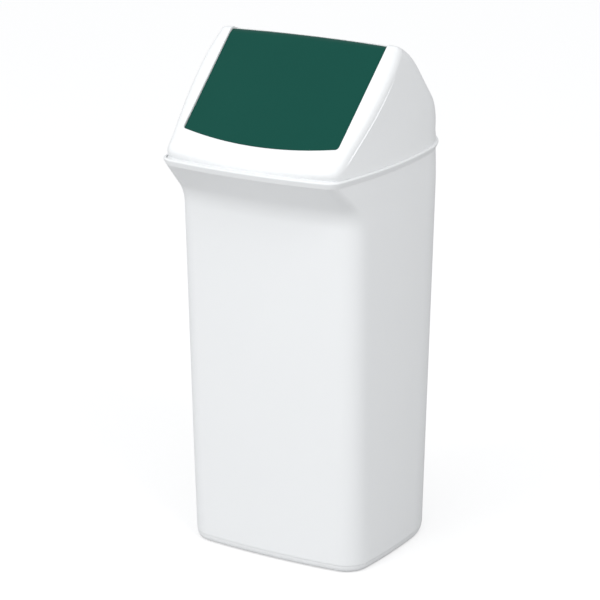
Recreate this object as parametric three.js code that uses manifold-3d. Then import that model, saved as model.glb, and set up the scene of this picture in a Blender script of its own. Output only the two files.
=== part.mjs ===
// A free-standing 40 litre indoor waste bin with a swing-flap lid.
// Millimetres, +Z up, origin on the floor under the middle of the bin, front at -Y.
import * as THREE from 'three';
import { mergeVertices } from 'three/addons/utils/BufferGeometryUtils.js';
import Module from 'manifold-3d';

const wasm = await Module();
wasm.setup();

const DEG = Math.PI / 180;
const GAP = 0.3;                  // clearance kept between pieces that touch
const WELD = 0.01;                // overlap of two bodies that are joined into one
const PAST = 5;                   // how far a cutting body runs past what it cuts

// ---- bin body ----
const RIM_WIDTH = 320;
const RIM_DEPTH = 366;
const RIM_HEIGHT = 592;           // floor to the top of the rim
const HOOD_RISE = 155;            // rim to the top of the ridge
const HEIGHT = RIM_HEIGHT + HOOD_RISE;
const RIM_FRONT_BOW = 830;        // the four sides bow outwards on these radii
const RIM_SIDE_BOW = 710;
const RIM_REAR_BOW = 1860;
const RIM_FRONT_CORNER = 24;
const RIM_REAR_CORNER = 119;
const BAND_HEIGHT = 10;           // raised band round the rim
const BAND_PROUD = 4;             // how far it stands out from the wall below
const BAND_WALL = 3.6;
const LEDGE_DEPTH = 7;            // the lid's skirt stands this far down inside the band
const BODY_WALL = 3;
const FLOOR_WALL = 4;
const WIDTH_TAPER = 23.7;         // how much narrower the base is than the rim
const FRONT_OVERHANG = 67.4;      // rim's front edge ahead of the base
const REAR_TAPER = 19.4;
const BASE_WIDTH = RIM_WIDTH - WIDTH_TAPER;
const BASE_FRONT = FRONT_OVERHANG - RIM_DEPTH / 2;
const BASE_REAR = RIM_DEPTH / 2 - REAR_TAPER;
const BASE_FRONT_BOW = 1080;
const BASE_SIDE_BOW = 976;
const BASE_REAR_BOW = 2650;
const BASE_FRONT_CORNER = 38;
const BASE_REAR_CORNER = 114;
const BASE_BAND = 12;             // rounded band round the foot of the walls
const BASE_BAND_INSET = 1.3;
const BASE_EDGE_INSET = 5;
const EDGE_STEP = 1.5;            // height of the first step of the base's rounded edge
const FLARE_HEIGHT = 80;          // the front wall turns outwards this far below the rim's top
const FLARE_START = RIM_HEIGHT - FLARE_HEIGHT;
const FLARE_RADIUS = 48;
const FLARE_ANGLE = 45 * DEG;
const FRONT_DRAFT = 12.7;         // how far the front wall leans out between base and flare
const PLAN_EASE = 0.2;            // share of the change from base outline to rim outline below the flare
const BAND_SOFT = 1.2;            // rounding of the band's edges

// ---- feet ----
const FOOT_RADIUS = 11;
const FOOT_STAND = 1.5;           // height of the body above the floor
const FOOT_POCKET = 1.8;          // depth of the pocket that a foot sits in
const FOOT_FROM_FRONT = 42;
const FOOT_FROM_REAR = 52.5;
const FRONT_FOOT_FROM_SIDE = 42;
const REAR_FOOT_FROM_SIDE = 58.8;

// ---- lid hood ----
const SKIRT_GAP = 0.6;            // between the rim band and the skirt
const HOOD_WALL = 2.6;
const SIDE_LEAN = 0.04;           // the hood's sides lean in by this much per mm of height
const REAR_SHOULDER = 80;         // radius where the rear wall turns into the rear slope
const REAR_SHOULDER_RISE = 1.5;   // the turn starts this far above the rim's top
const REAR_STRAIGHT = 83;         // length of the straight part of the rear slope
const RIDGE_SLOPE = 18.8 * DEG;   // the crown arc reaches the ridge at this slope
const RIDGE_BEHIND_PIVOT = 7.2;
const CORNER_SHRINK_RISE = 16;    // this far above the rim the rear corners start to tighten
const RIDGE_CORNER = 16;
const FRAME_CHAMFER = 11;         // softened edge between the sloping frame and the sides
const FRAME_PROUD = 2.5;          // frame above the flap's face
const OPENING_GAP = 1.3;          // round the flap

// ---- flap ----
const PIVOT_BEHIND_RIM = 183.4;   // behind the rim's front edge
const PIVOT_BELOW_RIDGE = 17.2;
const PIVOT_Y = PIVOT_BEHIND_RIM - RIM_DEPTH / 2;
const PIVOT_Z = HEIGHT - PIVOT_BELOW_RIDGE;
const ROLL_RADIUS = 15;           // the top of the flap rolls over the ridge round the pivot
const FRAME_SIDE = 34.4;          // rim's outer face to the flap's end
const FRAME_LOWER = 44.4;         // flap's lower edge to the front wall, down the slope
const NOSE_DROP = 1.1;            // frame and front wall meet this far below the rim's top
const FLAP_TAPER = 4;
const FLAP_TOP_WIDTH = RIM_WIDTH - 2 * FRAME_SIDE;
const FLAP_BOTTOM_WIDTH = FLAP_TOP_WIDTH - FLAP_TAPER;
const FLAP_EDGE_RISE = 14;        // the lower edge is an arc with this rise
const FLAP_WALL = 2.2;
const FLAP_FLAT_FROM = 90;        // first line across the flap below the roll
const ROLL_TURN = 110 * DEG;
const FLAP_CROWN = 2.3;           // bulge across the flap, nothing at the two sides
const CHEEK_INSET = 2.5;          // end discs inside the roll
const CHEEK_WALL = 3.5;
const TAIL_FROM_END = 15.6;       // arms that carry the ballast behind the pivot
const TAIL_X = FLAP_TOP_WIDTH / 2 - TAIL_FROM_END;
const TAIL_WALL = 4;
const TAIL_HALF_WIDTH = 8;
const TAIL_BEYOND = 8.5;          // arm's end beyond the ballast's axis
const TAIL_ROOT_DEPTH = 2.8;      // arm's root below the flap's face
const BALLAST_REACH = 72;
const BALLAST_ANGLE = 70 * DEG;   // below the horizontal, when the flap is shut
const BALLAST_SIZE = 15;
const SCREW_RADIUS = 2;
const SCREW_HEAD_RADIUS = 4.2;
const SCREW_HEAD = 2.4;
const SCREW_LENGTH = 14;

// ---- pivots and stops ----
const PIN_RADIUS = 4;
const PIN_LENGTH = 26;
const BUSH_WALL = 3.2;
const BUSH_LENGTH = 6;
const BUSH_FLANGE = 2.2;          // flange beyond the sleeve, and its thickness is BUSH_FLANGE_T
const BUSH_FLANGE_T = 1.4;
const BRACKET_WALL = 4;
const BRACKET_FROM_FLAP = 6.4;    // bracket's inner face beyond the flap's end
const BRACKET_HALF = 15;
const BRACKET_RISE = 40;          // above the pivot, trimmed by the hood
const BUMPER_X = 70;
const BUMPER_RADIUS = 4;
const BUMPER_BEYOND = 7.4;        // bumper's axis beyond the flap's lower edge
const TAB_WIDTH = 16;
const TAB_WALL = 2.5;
const TAB_DROP = 10.5;            // tab's upper face below the flap's face
const TAB_OVERLAP = 20;           // tab's root starts this far inside the flap's edge
const TAB_ROOT = 10;

// ---------- geometry helpers ----------

function geometryOf(vertices, triangles) {
  const geometry = new THREE.BufferGeometry();
  geometry.setAttribute('position', new THREE.Float32BufferAttribute(vertices, 3));
  geometry.setIndex(triangles);
  return geometry;
}

function solid(source) {
  const bare = source.clone();
  bare.deleteAttribute('normal');
  bare.deleteAttribute('uv');
  const merged = mergeVertices(bare, 1e-4);
  return new wasm.Manifold(new wasm.Mesh({
    numProp: 3,
    vertProperties: new Float32Array(merged.attributes.position.array),
    triVerts: new Uint32Array(merged.index.array),
  }));
}

function geometryFrom(manifold) {
  const mesh = manifold.getMesh();
  return geometryOf(Array.from(mesh.vertProperties), Array.from(mesh.triVerts));
}

// Points on an arc, ends included.
function arc(centre, radius, from, to, steps) {
  const points = [];
  for (let i = 0; i <= steps; i++) {
    const a = from + ((to - from) * i) / steps;
    points.push(new THREE.Vector2(centre.x + radius * Math.cos(a), centre.y + radius * Math.sin(a)));
  }
  return points;
}

// Centre of a corner arc that lies inside two larger arcs and touches both, on the +x side.
function cornerCentre(a, ra, b, rb, side) {
  const d = b.clone().sub(a);
  const length = d.length();
  const along = (ra * ra - rb * rb + length * length) / (2 * length);
  const across = Math.sqrt(Math.max(ra * ra - along * along, 0));
  const unit = d.divideScalar(length);
  const foot = a.clone().addScaledVector(unit, along);
  const normal = new THREE.Vector2(-unit.y, unit.x);
  const one = foot.clone().addScaledVector(normal, across);
  const two = foot.clone().addScaledVector(normal, -across);
  return one.x + side * one.y > two.x + side * two.y ? one : two;
}

// Plan outline: four bowed sides joined by round corners, counter-clockwise seen from above.
function planLoop(s) {
  const middle = (s.front + s.rear) / 2;
  const frontC = new THREE.Vector2(0, s.front + s.frontBow);
  const sideC = new THREE.Vector2(s.width / 2 - s.sideBow, middle);
  const rearC = new THREE.Vector2(0, s.rear - s.rearBow);
  const fc = cornerCentre(frontC, s.frontBow - s.frontCorner, sideC, s.sideBow - s.frontCorner, -1);
  const rc = cornerCentre(sideC, s.sideBow - s.rearCorner, rearC, s.rearBow - s.rearCorner, 1);
  const angle = (from, to) => Math.atan2(to.y - from.y, to.x - from.x);
  const a1 = angle(frontC, fc);
  const a2 = angle(sideC, fc);
  const a3 = angle(sideC, rc);
  const a4 = angle(rearC, rc);
  const right = [
    ...arc(frontC, s.frontBow, -Math.PI / 2, a1, 4),
    ...arc(fc, s.frontCorner, a1, a2, 5).slice(1),
    ...arc(sideC, s.sideBow, a2, a3, 5).slice(1),
    ...arc(rc, s.rearCorner, a3, a4, 8).slice(1),
    ...arc(rearC, s.rearBow, a4, Math.PI / 2, 2).slice(1),
  ];
  const left = right.slice(1, -1).reverse().map((p) => new THREE.Vector2(-p.x, p.y));
  return [...right, ...left];
}

// The same outline moved inwards by d, all round.
function inset(s, d) {
  return {
    width: s.width - 2 * d, front: s.front + d, rear: s.rear - d,
    frontBow: s.frontBow - d, sideBow: s.sideBow - d, rearBow: s.rearBow - d,
    frontCorner: s.frontCorner - d, rearCorner: s.rearCorner - d,
  };
}

// Closed solid through a stack of level outlines: [[height, outline], ...] from the bottom up.
function stack(levels) {
  const loops = levels.map(([z, shape]) => planLoop(shape).map((p) => [p.x, p.y, z]));
  const count = loops[0].length;
  const vertices = loops.flat(2);
  const triangles = [];
  for (let k = 0; k + 1 < loops.length; k++) {
    for (let i = 0; i < count; i++) {
      const j = (i + 1) % count;
      const a = k * count + i;
      const b = k * count + j;
      triangles.push(a, b, b + count, a, b + count, a + count);
    }
  }
  const last = (loops.length - 1) * count;
  const middle = vertices.length / 3;
  const centreY = (shape) => (shape.front + shape.rear) / 2;
  vertices.push(0, centreY(levels[0][1]), levels[0][0]);
  vertices.push(0, centreY(levels[levels.length - 1][1]), levels[levels.length - 1][0]);
  for (let i = 0; i < count; i++) {
    const j = (i + 1) % count;
    triangles.push(middle, j, i, middle + 1, last + i, last + j);
  }
  return solid(geometryOf(vertices, triangles));
}

// A cylinder along X.
function rodX(radius, x0, x1, y, z, sides = 28) {
  const rod = new THREE.CylinderGeometry(radius, radius, x1 - x0, sides);
  rod.rotateZ(Math.PI / 2);
  rod.translate((x0 + x1) / 2, y, z);
  return solid(rod);
}

// A polygon in the YZ plane given a thickness along X.
function slabX(points, x0, x1) {
  const shape = new THREE.Shape(points.map(([y, z]) => new THREE.Vector2(y, z)));
  const slab = new THREE.ExtrudeGeometry(shape, { depth: x1 - x0, bevelEnabled: false });
  slab.applyMatrix4(new THREE.Matrix4().set(0, 0, 1, x0, 1, 0, 0, 0, 0, 1, 0, 0, 0, 0, 0, 1));
  return solid(slab);
}

// Everything on the side of a plane that its normal points to, near the object.
function halfSpace(point, normal) {
  const reach = 1200;
  const box = new THREE.BoxGeometry(reach, reach, reach);
  box.translate(0, 0, reach / 2);
  const turn = new THREE.Quaternion().setFromUnitVectors(new THREE.Vector3(0, 0, 1), normal);
  box.applyQuaternion(turn);
  box.translate(point.x, point.y, point.z);
  return solid(box);
}

// ---------- bin body ----------

// The rim's outer outline, on which the lid's outline depends too.
const rimShape = {
  width: RIM_WIDTH, front: -RIM_DEPTH / 2, rear: RIM_DEPTH / 2,
  frontBow: RIM_FRONT_BOW, sideBow: RIM_SIDE_BOW, rearBow: RIM_REAR_BOW,
  frontCorner: RIM_FRONT_CORNER, rearCorner: RIM_REAR_CORNER,
};
const underBand = inset(rimShape, BAND_PROUD);
const bandBottom = RIM_HEIGHT - BAND_HEIGHT;

function mixShapes(a, b, t) {
  const out = {};
  for (const key of Object.keys(a)) out[key] = a[key] + (b[key] - a[key]) * t;
  return out;
}

const baseShape = {
  width: BASE_WIDTH, front: BASE_FRONT, rear: BASE_REAR,
  frontBow: BASE_FRONT_BOW, sideBow: BASE_SIDE_BOW, rearBow: BASE_REAR_BOW,
  frontCorner: BASE_FRONT_CORNER, rearCorner: BASE_REAR_CORNER,
};

// How far the front wall has turned out at height z: an arc, then a straight slope.
function flareOut(z) {
  const rise = z - FLARE_START;
  if (rise <= 0) return 0;
  const arcRise = FLARE_RADIUS * Math.sin(FLARE_ANGLE);
  if (rise < arcRise) return FLARE_RADIUS - Math.sqrt(FLARE_RADIUS ** 2 - rise ** 2);
  return FLARE_RADIUS * (1 - Math.cos(FLARE_ANGLE)) + (rise - arcRise) * Math.tan(FLARE_ANGLE);
}

// Outline of the wall at height z, below the rim band.
function wallShape(z) {
  const up = Math.max(0, (z - BASE_BAND) / (bandBottom - BASE_BAND));
  const flared = THREE.MathUtils.clamp((z - FLARE_START) / (bandBottom - FLARE_START), 0, 1);
  const shape = mixShapes(baseShape, underBand, up);
  const straight = mixShapes(baseShape, underBand, Math.min(up, PLAN_EASE));
  const toFlare = (z - BASE_BAND) / (FLARE_START - BASE_BAND);
  const frontAtFlare = BASE_FRONT - FRONT_DRAFT * Math.min(1, Math.max(0, toFlare));
  const out = flareOut(z) / flareOut(bandBottom);
  shape.front = frontAtFlare + (underBand.front - (BASE_FRONT - FRONT_DRAFT)) * out;
  for (const key of ['frontBow', 'sideBow', 'frontCorner']) {
    shape[key] = straight[key] + (underBand[key] - straight[key]) * flared;
  }
  return shape;
}

function wallLevels(d, from, to) {
  const wallSteps = 4;
  const flareSteps = 8;
  const heights = [BASE_BAND];
  for (let i = 1; i <= wallSteps; i++) {
    heights.push(BASE_BAND + ((FLARE_START - BASE_BAND) * i) / wallSteps);
  }
  for (let i = 1; i <= flareSteps; i++) {
    heights.push(FLARE_START + ((bandBottom - FLARE_START) * i) / flareSteps);
  }
  const inside = heights.filter((z) => z > from + 1 && z < to - 1);
  return [from, ...inside, to].map((z) => [z, inset(wallShape(Math.min(z, bandBottom)), d)]);
}

const ledge = RIM_HEIGHT - LEDGE_DEPTH;
const footRows = [
  { end: 'front', y: BASE_FRONT + FOOT_FROM_FRONT, fromSide: FRONT_FOOT_FROM_SIDE },
  { end: 'rear', y: BASE_REAR - FOOT_FROM_REAR, fromSide: REAR_FOOT_FROM_SIDE },
];
const footSpots = footRows.flatMap(({ end, y, fromSide }) => [
  { name: `left_${end}_foot`, x: fromSide - BASE_WIDTH / 2, y },
  { name: `right_${end}_foot`, x: BASE_WIDTH / 2 - fromSide, y },
]);

function footCylinder(radius, z0, z1, spot) {
  const disc = new THREE.CylinderGeometry(radius, radius, z1 - z0, 24);
  disc.rotateX(Math.PI / 2);
  disc.translate(spot.x, spot.y, (z0 + z1) / 2);
  return solid(disc);
}

function makeBody() {
  const outside = stack([
    [FOOT_STAND, inset(baseShape, BASE_EDGE_INSET)],
    [FOOT_STAND + EDGE_STEP, inset(baseShape, BASE_EDGE_INSET / 2)],
    [FOOT_STAND + 3 * EDGE_STEP, inset(baseShape, BASE_BAND_INSET)],
    [BASE_BAND - EDGE_STEP, inset(baseShape, BASE_BAND_INSET / 2)],
    ...wallLevels(0, BASE_BAND, bandBottom),
  ]);
  const band = stack([
    [bandBottom - WELD, inset(rimShape, BAND_SOFT)],
    [bandBottom + BAND_SOFT, rimShape],
    [RIM_HEIGHT - BAND_SOFT, rimShape],
    [RIM_HEIGHT, inset(rimShape, BAND_SOFT)],
  ]);
  const inner = stack(wallLevels(BODY_WALL, FOOT_STAND + FLOOR_WALL, ledge + 1));
  const seat = stack([
    [ledge, inset(rimShape, BAND_WALL)],
    [RIM_HEIGHT + PAST, inset(rimShape, BAND_WALL)],
  ]);
  let body = outside.add(band).subtract(inner).subtract(seat);
  for (const spot of footSpots) {
    body = body.subtract(footCylinder(FOOT_RADIUS + GAP, FOOT_STAND - 1, FOOT_STAND + FOOT_POCKET, spot));
  }
  return body;
}

// ---------- lid hood ----------

const hoodInset = BAND_WALL + SKIRT_GAP;
const hoodFoot = inset(rimShape, hoodInset);
const skirtBottom = ledge + GAP;

// The frame's plane touches the frame's circle round the pivot and passes through the nose, where
// it meets the front wall. The flap shares its slope and stops short of the nose.
const frameFace = ROLL_RADIUS + FRAME_PROUD;
const noseAhead = PIVOT_Y - hoodFoot.front;
const noseBelow = PIVOT_Z - (RIM_HEIGHT - NOSE_DROP);
const noseReach = Math.hypot(noseAhead, noseBelow);
const FLAP_SLOPE = Math.atan2(noseBelow, noseAhead) + Math.asin(frameFace / noseReach);
const FLAP_LENGTH = Math.sqrt(noseReach ** 2 - frameFace ** 2) - FRAME_LOWER;

// Flap coordinates: x across, down = distance down the slope from the pivot, up = off the slope.
const flapPoint = (x, down, up) => new THREE.Vector3(
  x,
  PIVOT_Y - Math.sin(FLAP_SLOPE) * up - Math.cos(FLAP_SLOPE) * down,
  PIVOT_Z + Math.cos(FLAP_SLOPE) * up - Math.sin(FLAP_SLOPE) * down,
);
const flapNormal = new THREE.Vector3(0, -Math.sin(FLAP_SLOPE), Math.cos(FLAP_SLOPE));
const flapCrown = (x) => FLAP_CROWN * (1 - Math.min(1, (2 * x / FLAP_TOP_WIDTH) ** 2));
const flapEdge = (x) => FLAP_LENGTH - FLAP_EDGE_RISE * (2 * x / FLAP_BOTTOM_WIDTH) ** 2;

// Rear profile from the wall up: shoulder arc, straight slope, crown arc. The slope's angle and
// the crown's radius are the ones that bring the crown through the ridge at its own slope.
const shoulderCentre = { y: hoodFoot.rear - REAR_SHOULDER, z: RIM_HEIGHT + REAR_SHOULDER_RISE };
const ridge = { y: PIVOT_Y + RIDGE_BEHIND_PIVOT, z: HEIGHT };

function slopeLine(angle, shoulder) {
  const foot = {
    y: shoulderCentre.y + shoulder * Math.sin(angle),
    z: shoulderCentre.z + shoulder * Math.cos(angle),
  };
  const top = {
    y: foot.y - REAR_STRAIGHT * Math.cos(angle),
    z: foot.z + REAR_STRAIGHT * Math.sin(angle),
  };
  return { foot, top };
}

function solveRearSlope() {
  const miss = (angle) => {
    const { top } = slopeLine(angle, REAR_SHOULDER);
    return top.z - ridge.z + (top.y - ridge.y) * Math.tan((angle + RIDGE_SLOPE) / 2);
  };
  let low = RIDGE_SLOPE;
  let high = Math.PI / 2;
  for (let i = 0; i < 50; i++) {
    const middle = (low + high) / 2;
    if (miss(middle) < 0) low = middle;
    else high = middle;
  }
  return low;
}

const rearSlope = solveRearSlope();
const crownRadius = (slopeLine(rearSlope, REAR_SHOULDER).top.y - ridge.y)
  / (Math.sin(rearSlope) - Math.sin(RIDGE_SLOPE));

function rearAt(z, skin) {
  const shoulder = REAR_SHOULDER - skin;
  const { foot, top } = slopeLine(rearSlope, shoulder);
  if (z <= shoulderCentre.z) return hoodFoot.rear - skin;
  if (z <= foot.z) return shoulderCentre.y + Math.sqrt(shoulder ** 2 - (z - shoulderCentre.z) ** 2);
  if (z <= top.z) return foot.y - (z - foot.z) / Math.tan(rearSlope);
  const crown = crownRadius - skin;
  const crownY = top.y - crown * Math.sin(rearSlope);
  const crownZ = top.z - crown * Math.cos(rearSlope);
  return crownY + Math.sqrt(Math.max(crown ** 2 - (z - crownZ) ** 2, 0));
}

function hoodShape(z, skin) {
  const above = Math.max(0, z - RIM_HEIGHT);
  const shrinkFrom = RIM_HEIGHT + CORNER_SHRINK_RISE;
  const tighten = THREE.MathUtils.clamp((z - shrinkFrom) / (HEIGHT - shrinkFrom), 0, 1);
  const shape = inset(hoodFoot, skin);
  shape.width -= 2 * SIDE_LEAN * above;
  shape.rear = rearAt(z, skin);
  shape.rearCorner = hoodFoot.rearCorner + (RIDGE_CORNER - hoodFoot.rearCorner) * tighten - skin;
  return shape;
}

function hoodSolid(skin) {
  const steps = 13;
  const heights = [skin > 0 ? skirtBottom - PAST : skirtBottom];
  for (let k = 0; k <= steps; k++) {
    heights.push(RIM_HEIGHT + (HOOD_RISE - skin) * Math.sin((Math.PI / 2) * (k / steps)));
  }
  const block = stack(heights.map((z) => [z, hoodShape(z, skin)]));
  const framePoint = flapPoint(0, 0, frameFace - skin);
  return block.subtract(halfSpace(framePoint, flapNormal))
    .subtract(frameChamfer(-1, skin))
    .subtract(frameChamfer(1, skin));
}

// Half the hood's width where its sloping frame meets the bowed side, "down" the slope.
function frameHalfWidth(down) {
  const p = flapPoint(0, down, frameFace);
  const shape = hoodShape(p.z, 0);
  const middle = (shape.front + shape.rear) / 2;
  return shape.width / 2 - shape.sideBow + Math.sqrt(shape.sideBow ** 2 - (p.y - middle) ** 2);
}

// Softened long edges of the frame: one slanting cut down each side.
function frameChamfer(sign, skin) {
  const near = 10;
  const far = FLAP_LENGTH - near;
  const middle = (near + far) / 2;
  const high = flapPoint(sign * (frameHalfWidth(near) - FRAME_CHAMFER), near, frameFace);
  const low = flapPoint(sign * (frameHalfWidth(far) - FRAME_CHAMFER), far, frameFace);
  const side = flapPoint(sign * frameHalfWidth(middle), middle, frameFace - FRAME_CHAMFER);
  const normal = low.clone().sub(high).cross(side.clone().sub(high)).normalize();
  if (normal.dot(flapNormal) < 0) normal.negate();
  return halfSpace(high.addScaledVector(normal, -skin), normal);
}

// The flap's outline with clearance, as a block that cuts the opening.
function openingCutter() {
  const clear = OPENING_GAP;
  const shape = new THREE.Shape();
  const steps = 16;
  const depth = 60;
  const points = [];
  const halfTop = FLAP_TOP_WIDTH / 2 + clear;
  const halfBottom = FLAP_BOTTOM_WIDTH / 2 + clear;
  for (let i = 0; i <= steps; i++) {
    const x = -halfBottom + (2 * halfBottom * i) / steps;
    points.push(new THREE.Vector2(x, -(flapEdge(Math.min(FLAP_BOTTOM_WIDTH / 2, Math.abs(x))) + clear)));
  }
  points.push(new THREE.Vector2(halfTop, 0));
  points.push(new THREE.Vector2(-halfTop, 0));
  shape.setFromPoints(points);
  const block = new THREE.ExtrudeGeometry(shape, { depth, bevelEnabled: false });
  const x = new THREE.Vector3(1, 0, 0);
  const upSlope = new THREE.Vector3(0, Math.cos(FLAP_SLOPE), Math.sin(FLAP_SLOPE));
  block.applyMatrix4(new THREE.Matrix4().makeBasis(x, upSlope, flapNormal));
  const from = flapPoint(0, 0, frameFace - HOOD_WALL - 2 * PAST);
  block.translate(from.x, from.y, from.z);
  const rollClear = ROLL_RADIUS + FLAP_CROWN + clear;
  return solid(block).add(rodX(rollClear, -halfTop, halfTop, PIVOT_Y, PIVOT_Z, 40));
}

const bracketX = FLAP_TOP_WIDTH / 2 + BRACKET_FROM_FLAP;
const bushRadius = PIN_RADIUS + GAP + BUSH_WALL;

function makeHood() {
  const outside = hoodSolid(0);
  let hood = outside.subtract(hoodSolid(HOOD_WALL));
  for (const sign of [-1, 1]) {
    const x0 = sign > 0 ? bracketX : -bracketX - BRACKET_WALL;
    const plate = slabX([
      [PIVOT_Y - BRACKET_HALF, PIVOT_Z - BRACKET_HALF],
      [PIVOT_Y + BRACKET_HALF, PIVOT_Z - BRACKET_HALF],
      [PIVOT_Y + BRACKET_HALF, PIVOT_Z + BRACKET_RISE],
      [PIVOT_Y - BRACKET_HALF, PIVOT_Z + BRACKET_RISE],
    ], x0, x0 + BRACKET_WALL);
    hood = hood.add(plate.intersect(outside));
    hood = hood.subtract(rodX(bushRadius + GAP, x0 - 1, x0 + BRACKET_WALL + 1, PIVOT_Y, PIVOT_Z));
  }
  return hood.subtract(openingCutter());
}

// ---------- flap ----------

// Section of the flap at one place across its width: the slope, then the roll over the pivot.
function flapSection(x) {
  const outer = ROLL_RADIUS + flapCrown(x);
  const inner = outer - FLAP_WALL;
  const steps = 10;
  const roll = (radius, k) => {
    const a = (ROLL_TURN * k) / steps;
    return [-radius * Math.sin(a), radius * Math.cos(a)];
  };
  const points = [[flapEdge(x), outer], [FLAP_FLAT_FROM, outer]];
  for (let k = 0; k <= steps; k++) points.push(roll(outer, k));
  for (let k = steps; k >= 0; k--) points.push(roll(inner, k));
  points.push([FLAP_FLAT_FROM, inner], [flapEdge(x), inner]);
  return points;
}

function flapSheet() {
  const stations = 18;
  const half = FLAP_TOP_WIDTH / 2;
  const taper = (FLAP_TOP_WIDTH - FLAP_BOTTOM_WIDTH) / FLAP_TOP_WIDTH;
  const vertices = [];
  const triangles = [];
  let count = 0;
  for (let k = 0; k <= stations; k++) {
    const x = -half + (2 * half * k) / stations;
    const section = flapSection(x);
    count = section.length;
    for (const [down, up] of section) {
      const narrow = 1 - taper * Math.min(1, Math.max(0, down / FLAP_LENGTH));
      vertices.push(...flapPoint(x * narrow, down, up).toArray());
    }
  }
  for (let k = 0; k < stations; k++) {
    for (let i = 0; i < count; i++) {
      const j = (i + 1) % count;
      const a = k * count + i;
      const b = k * count + j;
      triangles.push(a, b + count, b, a, a + count, b + count);
    }
  }
  const cap = THREE.ShapeUtils.triangulateShape(flapSection(half).map(([a, b]) => new THREE.Vector2(a, b)), []);
  const last = stations * count;
  for (const [a, b, c] of cap) triangles.push(a, b, c, last + c, last + b, last + a);
  const sheet = solid(geometryOf(vertices, triangles));
  if (sheet.volume() > 0) return sheet;
  for (let i = 0; i < triangles.length; i += 3) {
    [triangles[i], triangles[i + 1]] = [triangles[i + 1], triangles[i]];
  }
  return solid(geometryOf(vertices, triangles));
}

const ballast = {
  y: PIVOT_Y + BALLAST_REACH * Math.cos(BALLAST_ANGLE),
  z: PIVOT_Z - BALLAST_REACH * Math.sin(BALLAST_ANGLE),
};

function tailArm(sign) {
  const root = flapPoint(0, 0, ROLL_RADIUS - TAIL_ROOT_DEPTH);
  const reach = BALLAST_REACH + TAIL_BEYOND;
  const tip = {
    y: PIVOT_Y + reach * Math.cos(BALLAST_ANGLE),
    z: PIVOT_Z - reach * Math.sin(BALLAST_ANGLE),
  };
  const along = new THREE.Vector2(tip.y - root.y, tip.z - root.z).normalize();
  const w = new THREE.Vector2(-along.y, along.x).multiplyScalar(TAIL_HALF_WIDTH);
  const x0 = sign * TAIL_X - TAIL_WALL / 2;
  return slabX([
    [root.y - w.x, root.z - w.y], [tip.y - w.x, tip.z - w.y],
    [tip.y + w.x, tip.z + w.y], [root.y + w.x, root.z + w.y],
  ], x0, x0 + TAIL_WALL);
}

// A box in flap coordinates.
function flapBox(x0, x1, down0, down1, up0, up1) {
  const box = new THREE.BoxGeometry(x1 - x0, down1 - down0, up1 - up0);
  const upSlope = new THREE.Vector3(0, Math.cos(FLAP_SLOPE), Math.sin(FLAP_SLOPE));
  box.applyMatrix4(new THREE.Matrix4().makeBasis(new THREE.Vector3(1, 0, 0), upSlope, flapNormal));
  const at = flapPoint((x0 + x1) / 2, (down0 + down1) / 2, (up0 + up1) / 2);
  box.translate(at.x, at.y, at.z);
  return solid(box);
}

const tabUpper = ROLL_RADIUS - TAB_DROP + TAB_WALL;
const bumperDown = flapEdge(BUMPER_X) + BUMPER_BEYOND;

function makeFlap() {
  let flap = flapSheet();
  const end = FLAP_TOP_WIDTH / 2;
  for (const sign of [-1, 1]) {
    const outerX = sign * (end - CHEEK_INSET);
    const innerX = sign * (end - CHEEK_INSET - CHEEK_WALL);
    flap = flap.add(rodX(ROLL_RADIUS - 1, Math.min(outerX, innerX), Math.max(outerX, innerX), PIVOT_Y, PIVOT_Z));
    flap = flap.add(tailArm(sign));
    const x0 = sign * BUMPER_X - TAB_WIDTH / 2;
    const rootFrom = flapEdge(BUMPER_X) - TAB_OVERLAP;
    const face = ROLL_RADIUS + flapCrown(BUMPER_X + TAB_WIDTH / 2) - FLAP_WALL / 2;
    flap = flap.add(flapBox(x0, x0 + TAB_WIDTH, rootFrom, rootFrom + TAB_ROOT, tabUpper - TAB_WALL, face));
    flap = flap.add(flapBox(
      x0, x0 + TAB_WIDTH, rootFrom, bumperDown + BUMPER_RADIUS, tabUpper - TAB_WALL, tabUpper));
  }
  for (const sign of [-1, 1]) {
    const pinHole = [sign * (end - CHEEK_INSET - CHEEK_WALL - 1), sign * (end + 1)].sort((a, b) => a - b);
    flap = flap.subtract(rodX(PIN_RADIUS + GAP, ...pinHole, PIVOT_Y, PIVOT_Z));
    const screwHole = [sign * (TAIL_X - TAIL_WALL), sign * (TAIL_X + TAIL_WALL)].sort((a, b) => a - b);
    flap = flap.subtract(rodX(SCREW_RADIUS + GAP, ...screwHole, ballast.y, ballast.z, 20));
  }
  return flap;
}

// ---------- small pieces ----------

const ballastEnd = TAIL_X - TAIL_WALL / 2 - GAP;

function makeBallast() {
  const bar = new THREE.BoxGeometry(2 * ballastEnd, BALLAST_SIZE, BALLAST_SIZE);
  bar.rotateX(-BALLAST_ANGLE);
  bar.translate(0, ballast.y, ballast.z);
  let solidBar = solid(bar);
  for (const sign of [-1, 1]) {
    const hole = [sign * (ballastEnd - SCREW_LENGTH), sign * (ballastEnd + 1)].sort((a, b) => a - b);
    solidBar = solidBar.subtract(rodX(SCREW_RADIUS + GAP, ...hole, ballast.y, ballast.z, 20));
  }
  return solidBar;
}

function makeScrew(sign) {
  const headFrom = TAIL_X + TAIL_WALL / 2 + GAP;
  const shank = [sign * (headFrom - SCREW_LENGTH), sign * (headFrom + 0.5)].sort((a, b) => a - b);
  const head = [sign * headFrom, sign * (headFrom + SCREW_HEAD)].sort((a, b) => a - b);
  return rodX(SCREW_RADIUS, ...shank, ballast.y, ballast.z, 20)
    .add(rodX(SCREW_HEAD_RADIUS, ...head, ballast.y, ballast.z, 20));
}

const pinEnd = bracketX + BUSH_LENGTH;

function makePin(sign) {
  const x = [sign * (pinEnd - PIN_LENGTH), sign * pinEnd].sort((a, b) => a - b);
  return rodX(PIN_RADIUS, ...x, PIVOT_Y, PIVOT_Z);
}

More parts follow.
